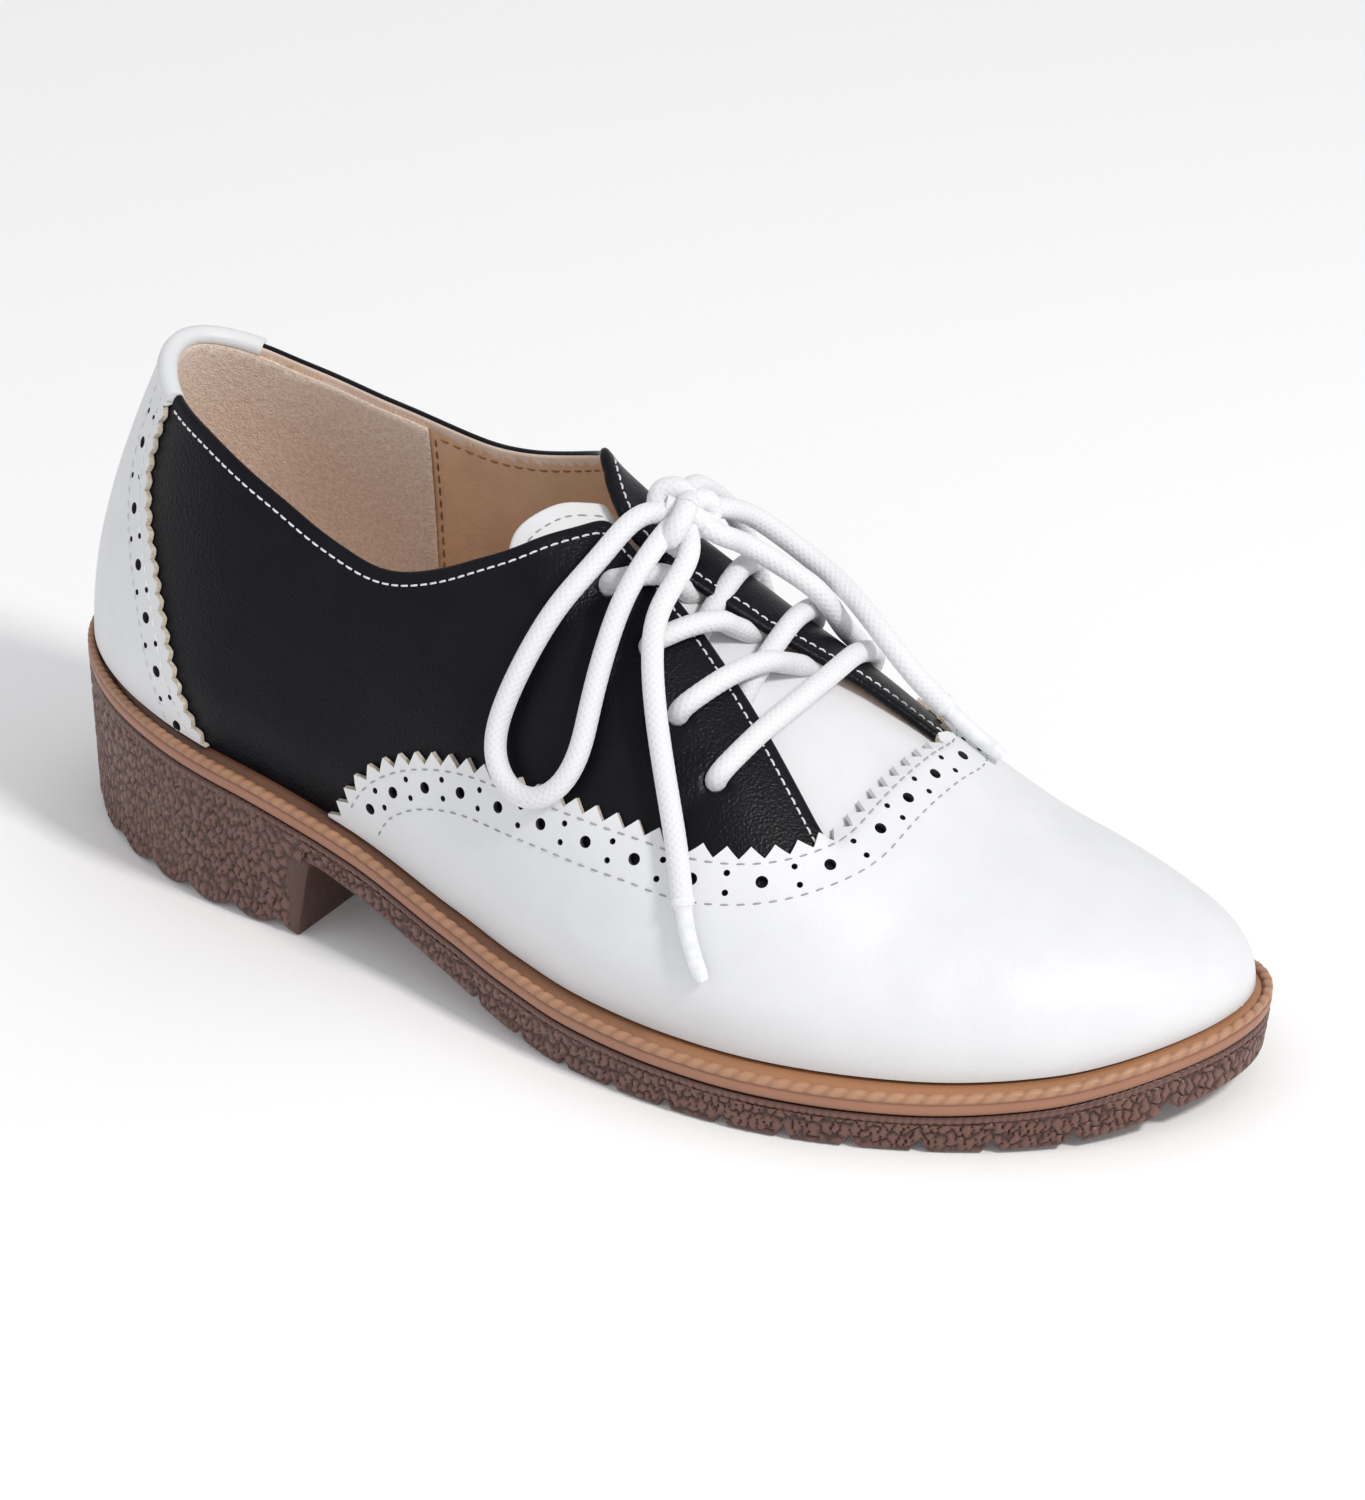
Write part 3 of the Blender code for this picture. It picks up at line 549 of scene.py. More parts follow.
def lid_faces(start, count, up):
    """Strips that close a ring, joining the lateral and the medial point of each section."""
    faces = []
    for i in range(count // 2):
        quad = [i, i + 1, (count - i - 1) % count, (count - i) % count]
        loop = [start + k for n, k in enumerate(quad) if k not in quad[:n]]
        faces.append(loop if up else loop[::-1])
    return faces


def piece(name, verts, faces, materials, zones=None, relief_and_painted_shade=None, sharp=50, replaces=()):
    """A piece of the shoe in the frame's metres, riding on its one body."""
    mesh = bpy.data.meshes.new(name)
    mesh.from_pydata(((np.asarray(verts) - ORIGIN) * MM).tolist(), [], faces)
    for material in materials:
        mesh.materials.append(material)
    if zones is not None:
        mesh.polygons.foreach_set("material_index", np.asarray(zones, np.int32))
    if relief_and_painted_shade is not None:
        values = mesh.attributes.new("relief_and_painted_shade", "FLOAT", "POINT").data
        values.foreach_set("value", np.asarray(relief_and_painted_shade, np.float32))
    mesh.shade_smooth()
    mesh.set_sharp_from_angle(angle=math.radians(sharp))
    made = bpy.data.objects.new(name, mesh)
    bpy.context.scene.collection.objects.link(made)
    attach(made, "root")
    if replaces:
        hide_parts(*replaces)
    return made


# Materials


class Nodes:
    """A Principled material with short names for adding and linking its nodes."""

    def __init__(self, name, colour, roughness):
        self.material = bpy.data.materials.new(name)
        self.material.use_nodes = True
        self.tree = self.material.node_tree
        self.shader = self.tree.nodes["Principled BSDF"]
        self.shader.inputs["Base Color"].default_value = (*colour, 1)
        self.shader.inputs["Roughness"].default_value = roughness
        self.where = self.tree.nodes.new("ShaderNodeTexCoord").outputs["Object"]

    def link(self, out, node, socket):
        self.tree.links.new(out, node.inputs[socket])

    def noise(self, size, detail=3.0):
        """Noise with features of about a size in millimetres."""
        node = self.tree.nodes.new("ShaderNodeTexNoise")
        node.inputs["Scale"].default_value = 1000 / size
        node.inputs["Detail"].default_value = detail
        self.link(self.where, node, "Vector")
        return node.outputs["Fac"]

    def cells(self, size, feature="F1"):
        node = self.tree.nodes.new("ShaderNodeTexVoronoi")
        node.feature = feature
        node.inputs["Scale"].default_value = 1000 / size
        self.link(self.where, node, "Vector")
        return node.outputs["Distance"]

    def attribute(self, name):
        node = self.tree.nodes.new("ShaderNodeAttribute")
        node.attribute_name = name
        return node.outputs["Fac"]

    def ramp(self, value, stops):
        """Colours, or greys, along a value: rows of (position, colour)."""
        node = self.tree.nodes.new("ShaderNodeValToRGB")
        while len(node.color_ramp.elements) < len(stops):
            node.color_ramp.elements.new(0.5)
        for element, (position, colour) in zip(node.color_ramp.elements, stops):
            element.position = position
            element.color = (*colour, 1) if isinstance(colour, tuple) else (colour, colour, colour, 1)
        self.link(value, node, "Fac")
        return node.outputs["Color"]

    def math(self, operation, a, b):
        node = self.tree.nodes.new("ShaderNodeMath")
        node.operation = operation
        for k, value in enumerate((a, b)):
            if isinstance(value, (int, float)):
                node.inputs[k].default_value = value
            else:
                self.tree.links.new(value, node.inputs[k])
        return node.outputs["Value"]

    def bump(self, height, depth, strength=1.0):
        """Bump from a height of 0 to 1 with a depth in millimetres; a second call adds to the first."""
        node = self.tree.nodes.new("ShaderNodeBump")
        node.inputs["Distance"].default_value = depth * MM
        node.inputs["Strength"].default_value = strength
        self.link(height, node, "Height")
        before = self.shader.inputs["Normal"].links
        if before:
            self.link(before[0].from_socket, node, "Normal")
        self.link(node.outputs["Normal"], self.shader, "Normal")

    def colour(self, out):
        self.link(out, self.shader, "Base Color")

    def roughness(self, out):
        self.link(out, self.shader, "Roughness")


def leather(name, dark, light, rough, grain, depth, shine):
    """Smooth leather: faint clouds of colour, pores and a fine grain."""
    made = Nodes(name, light, rough)
    made.colour(made.ramp(made.noise(9.0), ((0.3, dark), (0.7, light))))
    made.roughness(made.ramp(made.noise(4.0), ((0.3, rough - 0.05), (0.7, rough + 0.06))))
    made.bump(made.cells(grain, "SMOOTH_F1"), depth)
    made.bump(made.noise(grain * 1.4), depth)
    made.shader.inputs["Specular IOR Level"].default_value = shine
    return made.material


def suede(name, dark, light, nap):
    made = Nodes(name, light, 0.95)
    made.colour(made.ramp(made.noise(nap, 6.0), ((0.36, dark), (0.62, light))))
    made.bump(made.noise(0.45, 4.0), 0.3)
    made.bump(made.noise(nap * 2.0, 4.0), 0.25)
    made.shader.inputs["Sheen Weight"].default_value = 0.25
    made.shader.inputs["Sheen Roughness"].default_value = 0.5
    made.shader.inputs["Specular IOR Level"].default_value = 0.2
    return made.material


def rubber(name, low, high, rough, grain):
    """Moulded rubber, painted darker where its relief attribute is low and lighter where it is high, as
    painted light and shade.
    """
    made = Nodes(name, high, rough)
    patch = made.math("MULTIPLY", made.noise(14.0), 0.3)
    # Painted light and shade: the relief values darken the hollows and lighten the raised parts
    made.colour(made.ramp(made.math("ADD", made.math("MULTIPLY", made.attribute("relief_and_painted_shade"), 0.8), patch),
                          ((0.12, low), (0.95, high))))
    made.roughness(made.ramp(made.noise(3.0), ((0.3, rough - 0.08), (0.7, rough + 0.1))))
    made.bump(made.noise(grain, 5.0), 0.1)
    return made.material


def cord_material():
    """Braided cord: two sets of slanted strands crossing around it, from its own unrolled map."""
    made = Nodes("lace_cord", (0.86, 0.86, 0.88), 0.8)
    spread = made.tree.nodes.new("ShaderNodeSeparateXYZ")
    made.link(made.tree.nodes.new("ShaderNodeUVMap").outputs["UV"], spread, "Vector")
    waves = []
    for slant in (-1, 1):
        turn = made.math("MULTIPLY", spread.outputs["Y"], BRAID_TURNS * 2 * math.pi)
        run = made.math("MULTIPLY", spread.outputs["X"], slant * 2 * math.pi / BRAID_PITCH)
        waves.append(made.math("SINE", made.math("ADD", turn, run), 0.0))
    height = made.math("MAXIMUM", *waves)
    made.bump(height, 0.035)
    made.bump(made.noise(0.3), 0.06)
    # Painted shade: the cord is a little darker where the braid dips between strands
    made.colour(made.ramp(height, ((0.0, (0.765, 0.765, 0.785)), (0.6, (0.80, 0.80, 0.82)))))
    made.shader.inputs["Sheen Weight"].default_value = 0.2
    return made.material


def plain(name, colour, rough, mottle):
    made = Nodes(name, colour, rough)
    dark = tuple(channel * (1 - mottle) for channel in colour)
    made.colour(made.ramp(made.noise(1.5), ((0.35, dark), (0.65, colour))))
    made.bump(made.noise(0.4), 0.05)
    return made.material


def tip_plastic():
    """Clear hard film wound round the end of the cord."""
    made = Nodes("tip_plastic", (0.84, 0.85, 0.87), 0.18)
    made.colour(made.ramp(made.noise(2.5), ((0.35, (0.74, 0.75, 0.78)), (0.65, (0.86, 0.87, 0.89)))))
    made.bump(made.noise(0.9), 0.08)
    made.shader.inputs["Coat Weight"].default_value = 0.6
    made.shader.inputs["Coat Roughness"].default_value = 0.08
    return made.material


CORD_SIDES = 32
BRAID_TURNS, BRAID_PITCH, BRAID_DEPTH = 8, 1.5, 0.03
WHITE = leather("white_leather", (0.745, 0.75, 0.765), (0.775, 0.78, 0.795), 0.45, 0.9, 0.03, 0.4)
BLACK = leather("black_leather", (0.004, 0.004, 0.006), (0.006, 0.006, 0.010), 0.35, 0.5, 0.085, 0.13)
RAW = suede("raw_edge", (0.50, 0.42, 0.33), (0.68, 0.60, 0.50), 0.6)
LINING = leather("lining_leather", (0.77, 0.51, 0.33), (0.88, 0.60, 0.40), 0.55, 0.9, 0.06, 0.3)
FOLD = leather("lining_fold", (0.80, 0.63, 0.52), (0.90, 0.75, 0.64), 0.6, 0.7, 0.05, 0.3)
SUEDE = suede("lining_suede", (0.82, 0.66, 0.55), (0.95, 0.81, 0.71), 0.8)
SOCK = suede("insole_sock", (0.52, 0.38, 0.29), (0.64, 0.49, 0.39), 1.2)
SOLE_RUBBER = rubber("sole_rubber", (0.036, 0.013, 0.009), (0.170, 0.077, 0.057), 0.36, 0.5)
BAND = rubber("welt_band", (0.17, 0.068, 0.040), (0.36, 0.165, 0.100), 0.42, 0.8)
BEAD = rubber("welt_bead", (0.20, 0.085, 0.048), (0.46, 0.24, 0.135), 0.42, 0.5)
CHANNEL = rubber("welt_channel", (0.085, 0.034, 0.019), (0.40, 0.185, 0.088), 0.35, 0.8)
CORD = cord_material()
THREAD = plain("white_thread", (0.80, 0.80, 0.80), 0.7, 0.1)
# White thread drawn grey: painted shade of the groove it lies in
SHADED_THREAD = plain("white_thread_painted_shade", (0.37, 0.37, 0.39), 0.7, 0.2)
BROWN_THREAD = plain("brown_thread", (0.27, 0.13, 0.06), 0.7, 0.15)
# Hole walls painted near black: painted shade inside the punched holes
PUNCH_SHADE = plain("punched_wall_painted_shade", (0.05, 0.05, 0.055), 0.8, 0.2)
TIP = tip_plastic()


# Upper


def heel_line(top):
    """Back seam from the collar down to the feather line, for the medial side."""
    count = 50
    return np.stack([np.full(count, U_HEEL), np.linspace(top, GIRTH, count)], -1)


def near_line(line):
    """Distance of any point to the nearest point of a line."""
    tree = KDTree(len(line))
    for k, point in enumerate(line):
        tree.insert(point, k)
    tree.balance()
    return lambda point: tree.find(point)[2]


def build_upper():
    """Black upper with its smooth lining: a hollow shell, open at collar, throat and underneath."""
    lateral, medial = (rounded(collar_line(side, HEEL_END), FACING_CORNER) for side in (LATERAL, MEDIAL))
    back = heel_line(medial[-1, 1])
    outline = np.vstack([
        even(lateral, 0.7), even(np.vstack([lateral[-1], medial[0]]), 0.8)[1:-1], even(medial, 0.7),
        back[1:-1], foot_line(MEDIAL, HEEL_END, TOE_END, 0.0),
        foot_line(LATERAL, HEEL_END, TOE_END, 0.0)[::-1], (back * (1, -1))[-2:0:-1]])
    holes = []
    for side in (LATERAL, MEDIAL):
        for spot in at_y(*zip(*EYELETS[side])):
            holes.append(circle(spot, np.array((1.0, 0.0)), HOLE / 2, 20))
    points, tris = sheet([(outline, holes)], 1.25)
    verts, faces, zones = shell(points, tris, 0.0, -WALL)
    distance = near_line(place(np.vstack([lateral, medial])))
    folded = math.hypot(LINING_FOLD, WALL)
    for n, face in enumerate(faces):
        if zones[n] == INNER and distance(verts[face].mean(0)) < folded:
            zones[n] = EDGE_IN
    piece("upper_leather", verts, faces, (BLACK, LINING, BLACK, FOLD), zones,
          replaces=("upper",))


def around_heel(edge, line, foot, top):
    """Outlines of a panel wrapped round the heel: its top, its front line and its foot on both sides."""
    regions = []
    back = heel_line(float(v_at_height(HEEL_END, edge(HEEL_END, MEDIAL), MEDIAL)) * GIRTH)
    for side in (LATERAL, MEDIAL):
        s = roll(np.arange(U_HEEL, unroll(top), 0.8))
        upper_edge = at_height(s, edge(s, side), side)
        lower_edge = foot_line(side, HEEL_END, foot, FOOT_GAP)
        front = line(side)
        if side == LATERAL:
            regions.append(np.vstack([upper_edge, front, lower_edge[::-1], (back * (1, -1))[-2:0:-1]]))
        else:
            regions.append(np.vstack([lower_edge[:-1], front, upper_edge[::-1], back[1:-1]]))
    return regions


def finish_edges(verts, faces, zones, raw_line, holes):
    """Keeps the raw edge beside a line, paints hole walls near black as painted shade, gives other edges
    the outer finish.
    """
    from_raw, from_hole = near_line(raw_line), near_line(place(np.vstack(holes)))
    for n, face in enumerate(faces):
        if zones[n] in (EDGE_OUT, EDGE_IN):
            spot = verts[face].mean(0)
            if from_hole(spot) < OVERLAY_OUT + 0.3:
                zones[n] = PUNCHED
            elif from_raw(spot) > OVERLAY_OUT + 0.5:
                zones[n] = OUTER


def between_facings(points):
    s, y = points[:, 0], points[:, 1]
    return (s > THROAT_FRONT - 12.0) & (y > FACING[LATERAL](s) + 1.0) & (y < FACING[MEDIAL](s) - 1.0)


def build_counter():
    """White heel overlay with a pinked and punched front edge, wrapped round the back."""
    def front(side):
        return pinked(counter_line(side), *COUNTER_TEETH)

    outlines = around_heel(lambda s, side: COLLAR[side](s) - 0.6, front, COUNTER_END, COUNTER_BACK)
    holes = [brogue(counter_line(side), COUNTER_HOLES, 1) for side in (LATERAL, MEDIAL)]
    points, tris = sheet(list(zip(outlines, holes)), 1.0)
    verts, faces, zones = shell(points, tris, OVERLAY_OUT, OVERLAY_IN, rim=1)
    finish_edges(verts, faces, zones, place(np.vstack(outlines)), sum(holes, []))
    piece("counter_leather", verts, faces, (WHITE, RAW, RAW, RAW, PUNCH_SHADE), zones,
          replaces=("counter",))


def build_heel_lining():
    """Suede lining of the heel: a thin sheet inside the upper, its front edge at the seam."""
    def seam(side):
        heights = np.array((COLLAR[side](LINING_SEAM) - LINING_FOLD, FOOT_GAP))
        line = even(at_height(np.full(2, LINING_SEAM), heights, side), 0.8)
        return line if side == LATERAL else line[::-1]

    outlines = around_heel(lambda s, side: COLLAR[side](s) - LINING_FOLD, seam, LINING_SEAM,
                           LINING_SEAM - 0.6)
    points, tris = sheet([(outline, []) for outline in outlines], 1.2)
    verts, faces, zones = shell(points, tris, -WALL - 0.05, -WALL - SUEDE_THICKNESS, rim=2)
    piece("heel_lining", verts, faces, (SUEDE,) * 4, zones)


# Section of the strip folded over the collar edge: rows of (down from the edge, outwards)
BINDING = ((0.9, -1.2), (0.95, -2.2), (0.8, -2.4), (0.3, -2.4), (-0.4, -2.1), (-0.9, -1.6), (-1.15, -0.8),
           (-1.1, 0.3), (-0.6, 1.2), (0.3, 1.55), (1.6, 1.55), (2.05, 1.4), (2.0, 1.0))


def build_binding():
    """White leather strip folded over the collar edge round the heel."""
    rings = []
    for side in (MEDIAL, LATERAL):
        s = roll(np.arange(U_HEEL + 0.4, unroll(COUNTER_BACK), 0.7))
        line = at_height(s, COLLAR[side](s), side)
        line = line if side == LATERAL else line[::-1]
        _, right = steps(line, np.gradient(line, axis=0))
        middle = place(line)
        down = place(line + 0.5 * right) - place(line - 0.5 * right)
        out = np.cross(down, np.gradient(middle, axis=0))
        down /= np.linalg.norm(down, axis=1, keepdims=True)
        out /= np.linalg.norm(out, axis=1, keepdims=True)
        rings += [m + np.outer([a for a, _ in BINDING], d) + np.outer([b for _, b in BINDING], o)
                  for m, d, o in zip(middle, down, out)]
    count, last = len(BINDING), (len(rings) - 1) * len(BINDING)
    faces = ring_faces(count, len(rings), False)
    faces += [list(range(count))[::-1], [last + k for k in range(count)]]
    piece("collar_binding", np.vstack(rings), faces, (WHITE,))


def build_vamp():
    """White wing and toe with a pinked and punched edge, laid on the upper and down on the tongue."""
    edge = wing_line()
    outline = np.vstack([
        pinked(edge, *WING_TEETH), foot_line(MEDIAL, WING_BACK, TOE_END, FOOT_GAP),
        foot_line(LATERAL, WING_BACK, TOE_END, FOOT_GAP)[::-1]])
    holes = brogue(edge, BAND_HOLES, 2)
    points, tris = sheet([(outline, holes)], 1.2)
    s, y = points[:, 0], points[:, 1]
    share = np.clip((THROAT_FRONT + 4.0 - s) / 6.0, 0, 1)
    from_lateral, from_medial = y - FACING[LATERAL](s), FACING[MEDIAL](s) - y
    open_throat = np.clip(from_lateral / 2.0, 0, 1) * np.clip(from_medial / 2.0, 0, 1)
    dip = -THROAT_DIP * share * share * (3 - 2 * share) * open_throat * (s > THROAT_FRONT - 12.0)
    verts, faces, zones = shell(points, tris, OVERLAY_OUT, OVERLAY_IN, bend=dip, rim=1)
    edge_line = place(outline)
    finish_edges(verts, faces, zones, edge_line[~between_facings(edge_line)], holes)
    piece("vamp_leather", verts, faces, (WHITE, RAW, RAW, RAW, PUNCH_SHADE), zones,
          replaces=("vamp",))


def tongue_edges():
    """Lateral and medial edge of the tongue, from its rounded top to under the vamp."""
    s = np.concatenate([(114.5, 115.0, 115.8), np.arange(117.0, 197.0, 1.0)])
    at = np.maximum(s, FACING_TOP[LATERAL])
    lateral = at_y(s, FACING[LATERAL](at) - TONGUE_SPREAD["lateral"](s))
    medial = at_y(s, FACING[MEDIAL](at) + TONGUE_SPREAD["medial"](s))
    return lateral, medial


def build_tongue():
    """White tongue under both facings, its top edge rounded."""
    lateral, medial = tongue_edges()
    edge = rounded(np.vstack([lateral[::-1], medial]), 3.0)
    outline = np.vstack([even(edge, 0.8), even(np.vstack([edge[-1], edge[0]]), 0.8)[1:-1]])
    points, tris = sheet([(outline, [])], 1.2)
    verts, faces, zones = shell(points, tris, 0.0, -TONGUE, bend=-TONGUE_DEPTH(points[:, 0]))
    piece("tongue_leather", verts, faces, (WHITE, LINING, WHITE, LINING), zones,
          replaces=("tongue",))


BAND_HOLES, BAND_ROWS = 6.8, (3.3, 10.9)          # distances from the pinked tips
COUNTER_HOLES, COUNTER_ROWS = 5.6, (3.2, 8.4)
# Stitches: pitch, length, radius of the thread
COLLAR_STITCH, COUNTER_STITCH, LINING_STITCH = (2.1, 1.35, 0.2), (2.6, 1.6, 0.2), (2.9, 1.8, 0.2)
WING_STITCH, TONGUE_STITCH = (2.9, 1.4, 0.16), (2.6, 1.5, 0.16)


# Tubes


def curve(points, step):
    """Smooth path through points, with samples about a step apart."""
    p = np.asarray(points, float)
    ends = np.vstack([2 * p[0] - p[1], p, 2 * p[-1] - p[-2]])
    path = []
    for a, b, c, d in zip(ends, ends[1:], ends[2:], ends[3:]):
        count = max(2, int(np.linalg.norm(c - b) / step))
        for t in np.arange(count) / count:
            path.append(0.5 * (2 * b + (c - a) * t + (2 * a - 5 * b + 4 * c - d) * t ** 2
                               + (3 * b - a - 3 * c + d) * t ** 3))
    return np.array(path + [p[-1]])


def run_of(path):
    """Distance along a path at each of its points."""
    return np.concatenate([[0], np.cumsum(np.linalg.norm(np.diff(path, axis=0), axis=1))])


def tube(path, radius, sides):
    """Closed round tube; radius is a number, or a row or table of them. Gives verts, faces and a map."""
    tangent = np.gradient(path, axis=0)
    tangent /= np.linalg.norm(tangent, axis=1, keepdims=True)
    run = run_of(path)
    radius = np.asarray(radius, float)
    radius = np.broadcast_to(radius[:, None] if radius.ndim == 1 else radius, (len(path), sides))
    across = np.cross(tangent[0], (0.31, 0.17, 0.93))
    verts = []
    turn = np.arange(sides) * 2 * math.pi / sides
    for point, direction, size in zip(path, tangent, radius):
        across = across - direction * np.dot(across, direction)
        across /= np.linalg.norm(across)
        up = np.cross(direction, across)
        verts.append(point + size[:, None] * (np.outer(np.cos(turn), across) + np.outer(np.sin(turn), up)))
    faces, corners = [], []
    for i in range(len(path) - 1):
        for k in range(sides):
            j = (k + 1) % sides
            faces.append([i * sides + k, i * sides + j, (i + 1) * sides + j, (i + 1) * sides + k])
            low, high = k / sides, (k + 1) / sides
            corners += [(run[i], low), (run[i], high), (run[i + 1], high), (run[i + 1], low)]
    last = (len(path) - 1) * sides
    faces += [list(range(sides))[::-1], [last + k for k in range(sides)]]
    corners += [(0.0, 0.0)] * (2 * sides)
    return np.vstack(verts), faces, corners


def joined(parts):
    """Several meshes as one: verts, faces and maps."""
    verts, faces, corners, start = [], [], [], 0
    for part in parts:
        verts.append(part[0])
        faces += [[k + start for k in face] for face in part[1]]
        corners += part[2]
        start += len(part[0])
    return np.vstack(verts), faces, corners


def cord_tube(path):
    """Braided cord along a path, its strands raised."""
    run, turn = run_of(path)[:, None], np.arange(CORD_SIDES)[None] / CORD_SIDES
    waves = [np.sin(2 * math.pi * (BRAID_TURNS * turn + slant * run / BRAID_PITCH)) for slant in (-1, 1)]
    return tube(path, LACE / 2 + BRAID_DEPTH * np.maximum(*waves), CORD_SIDES)


def cord_piece(name, paths, replaces):
    verts, faces, corners = joined([cord_tube(path) for path in paths])
    made = piece(name, verts, faces, (CORD,), replaces=replaces)
    made.data.uv_layers.new(name="UVMap").data.foreach_set("uv", np.ravel(corners).astype(np.float32))
    return made


def stitch_row(line, lift, stitch, inwards=False):
    """Separate stitches along a line on the upper, each a small arch of thread; lift may depend on s."""
    pitch, length, radius = stitch
    fine = even(line, pitch)
    distance = travelled(fine)
    arch = radius * (1.2 * np.sin(np.linspace(0, math.pi, 6)) - 0.5)
    parts = []
    for start in distance[:-1]:
        at = start + length * np.linspace(0, 1, 6)
        spots = np.stack([np.interp(at, distance, fine[:, k]) for k in (0, 1)], -1)
        if np.abs(spots[:, 1]).max() > GIRTH - 0.6:
            continue
        points = place(spots)
        across = place(spots + (0.0, 0.4)) - place(spots - (0.0, 0.4))
        along = place(spots + (0.4, 0.0)) - place(spots - (0.4, 0.0))
        normal = np.cross(along, across)
        normal /= np.linalg.norm(normal, axis=1, keepdims=True)
        level = lift(points[:, 0]) if callable(lift) else lift
        height = level - arch if inwards else level + arch
        parts.append(tube(points + normal * np.reshape(height, (-1, 1)), radius, 6))
    return parts


def build_stitches():
    """Topstitching of collar and facings, double rows of wing and counter, tongue and lining seams."""
    white, shaded_stitches, brown = [], [], []
    for side in (LATERAL, MEDIAL):
        edge = collar_line(side, COUNTER_BACK + 2.0, THROAT_FRONT)
        white += stitch_row(offset(even(rounded(edge, FACING_CORNER), 1.0), 1.7), 0.0, COLLAR_STITCH)
        for row in COUNTER_ROWS:
            white += stitch_row(offset(even(counter_line(side), 1.0), row), OVERLAY_OUT, COUNTER_STITCH)
        inside_edge = collar_line(side, LINING_SEAM + 2.0, THROAT_FRONT - 20.0)
        brown += stitch_row(offset(even(rounded(inside_edge, 2.0), 1.0), 3.0), -WALL, LINING_STITCH, True)
        seam_top, seam_foot = COLLAR[side](LINING_SEAM + 1.6) - 3.5, 4.0
        seam = at_height(np.full(2, LINING_SEAM + 1.6), np.array((seam_top, seam_foot)), side)
        brown += stitch_row(even(seam, 1.0), -WALL, LINING_STITCH, True)
    # Wing and tongue rows: white thread drawn grey, as painted shade in its groove
    for row in BAND_ROWS:
        shaded_stitches += stitch_row(offset(even(wing_line(), 1.0), row)[6:-6], OVERLAY_OUT, WING_STITCH)
    lateral, medial = tongue_edges()
    top = rounded(np.vstack([lateral[14::-1], medial[:12]]), 3.0)
    shaded_stitches += stitch_row(offset(even(top, 1.0), 2.5), lambda s: -TONGUE_DEPTH(s), TONGUE_STITCH)
    for name, parts, thread in (("stitches_white", white, THREAD), ("stitches_painted_shade", shaded_stitches, SHADED_THREAD),
                                ("stitches_brown", brown, BROWN_THREAD)):
        verts, faces, _ = joined(parts)
        piece(name, verts, faces, (thread,))


# Lace

ON_UPPER = LACE / 2 + 0.1
ON_WING = ON_UPPER + OVERLAY_OUT
ON_LACE = ON_WING + LACE
UNDER_FACING = -WALL - LACE / 2
INTO_EYELET = ((0.9, 0.7), (0.4, -2.6))     # a strand's way in: shift to the throat, lift
BAR_BOW = 3.0                               # how far the front bar bows towards the toe
LEAD = {LATERAL: 10.5, MEDIAL: 6.0}         # how far ahead of its eyelet a strand comes out
KNOT = 6.0
KNOT_LEAD = 3.0                             # how far a strand runs straight out of the knot
KNOT_S, KNOT_Y = 136.0, -4.6
KNOT_LIFT = 11.15                           # middle of the knot over the upper
KNOT_AT = skin_point(KNOT_S, KNOT_Y, KNOT_LIFT)
KNOT_TURN = 31.0                            # how far the loops' line through the knot turns inwards
WRAP, WRAP_AT = 4.2, (-1.4, -3.0, 0.8)      # turn round the knot: its radius and its place, as below
# Side turns and core of the knot from its middle: along the loops, across them, off the instep
KNOT_SIDES = (
    ((0.0, 2.0, 2.8), (-3.0, 2.6, 3.2), (-5.4, 2.2, 1.4), (-5.0, 0.2, -0.8), (-2.5, -1.0, -1.2),
     (0.0, -1.2, -0.6)),
    ((0.0, 1.2, 2.8), (3.0, 2.6, 3.2), (5.2, 2.4, 1.2), (4.6, 0.0, -0.8), (2.0, -1.2, -1.2),
     (0.0, -1.2, -0.6)),
    ((-4.4, -0.6, 1.0), (0.0, -0.8, 1.4), (4.2, -0.8, 1.0)))
TIP_LENGTH, TIP_RADIUS = 16.0, 1.5
EASE_STEP, EASE_PASSES = 0.8, 40
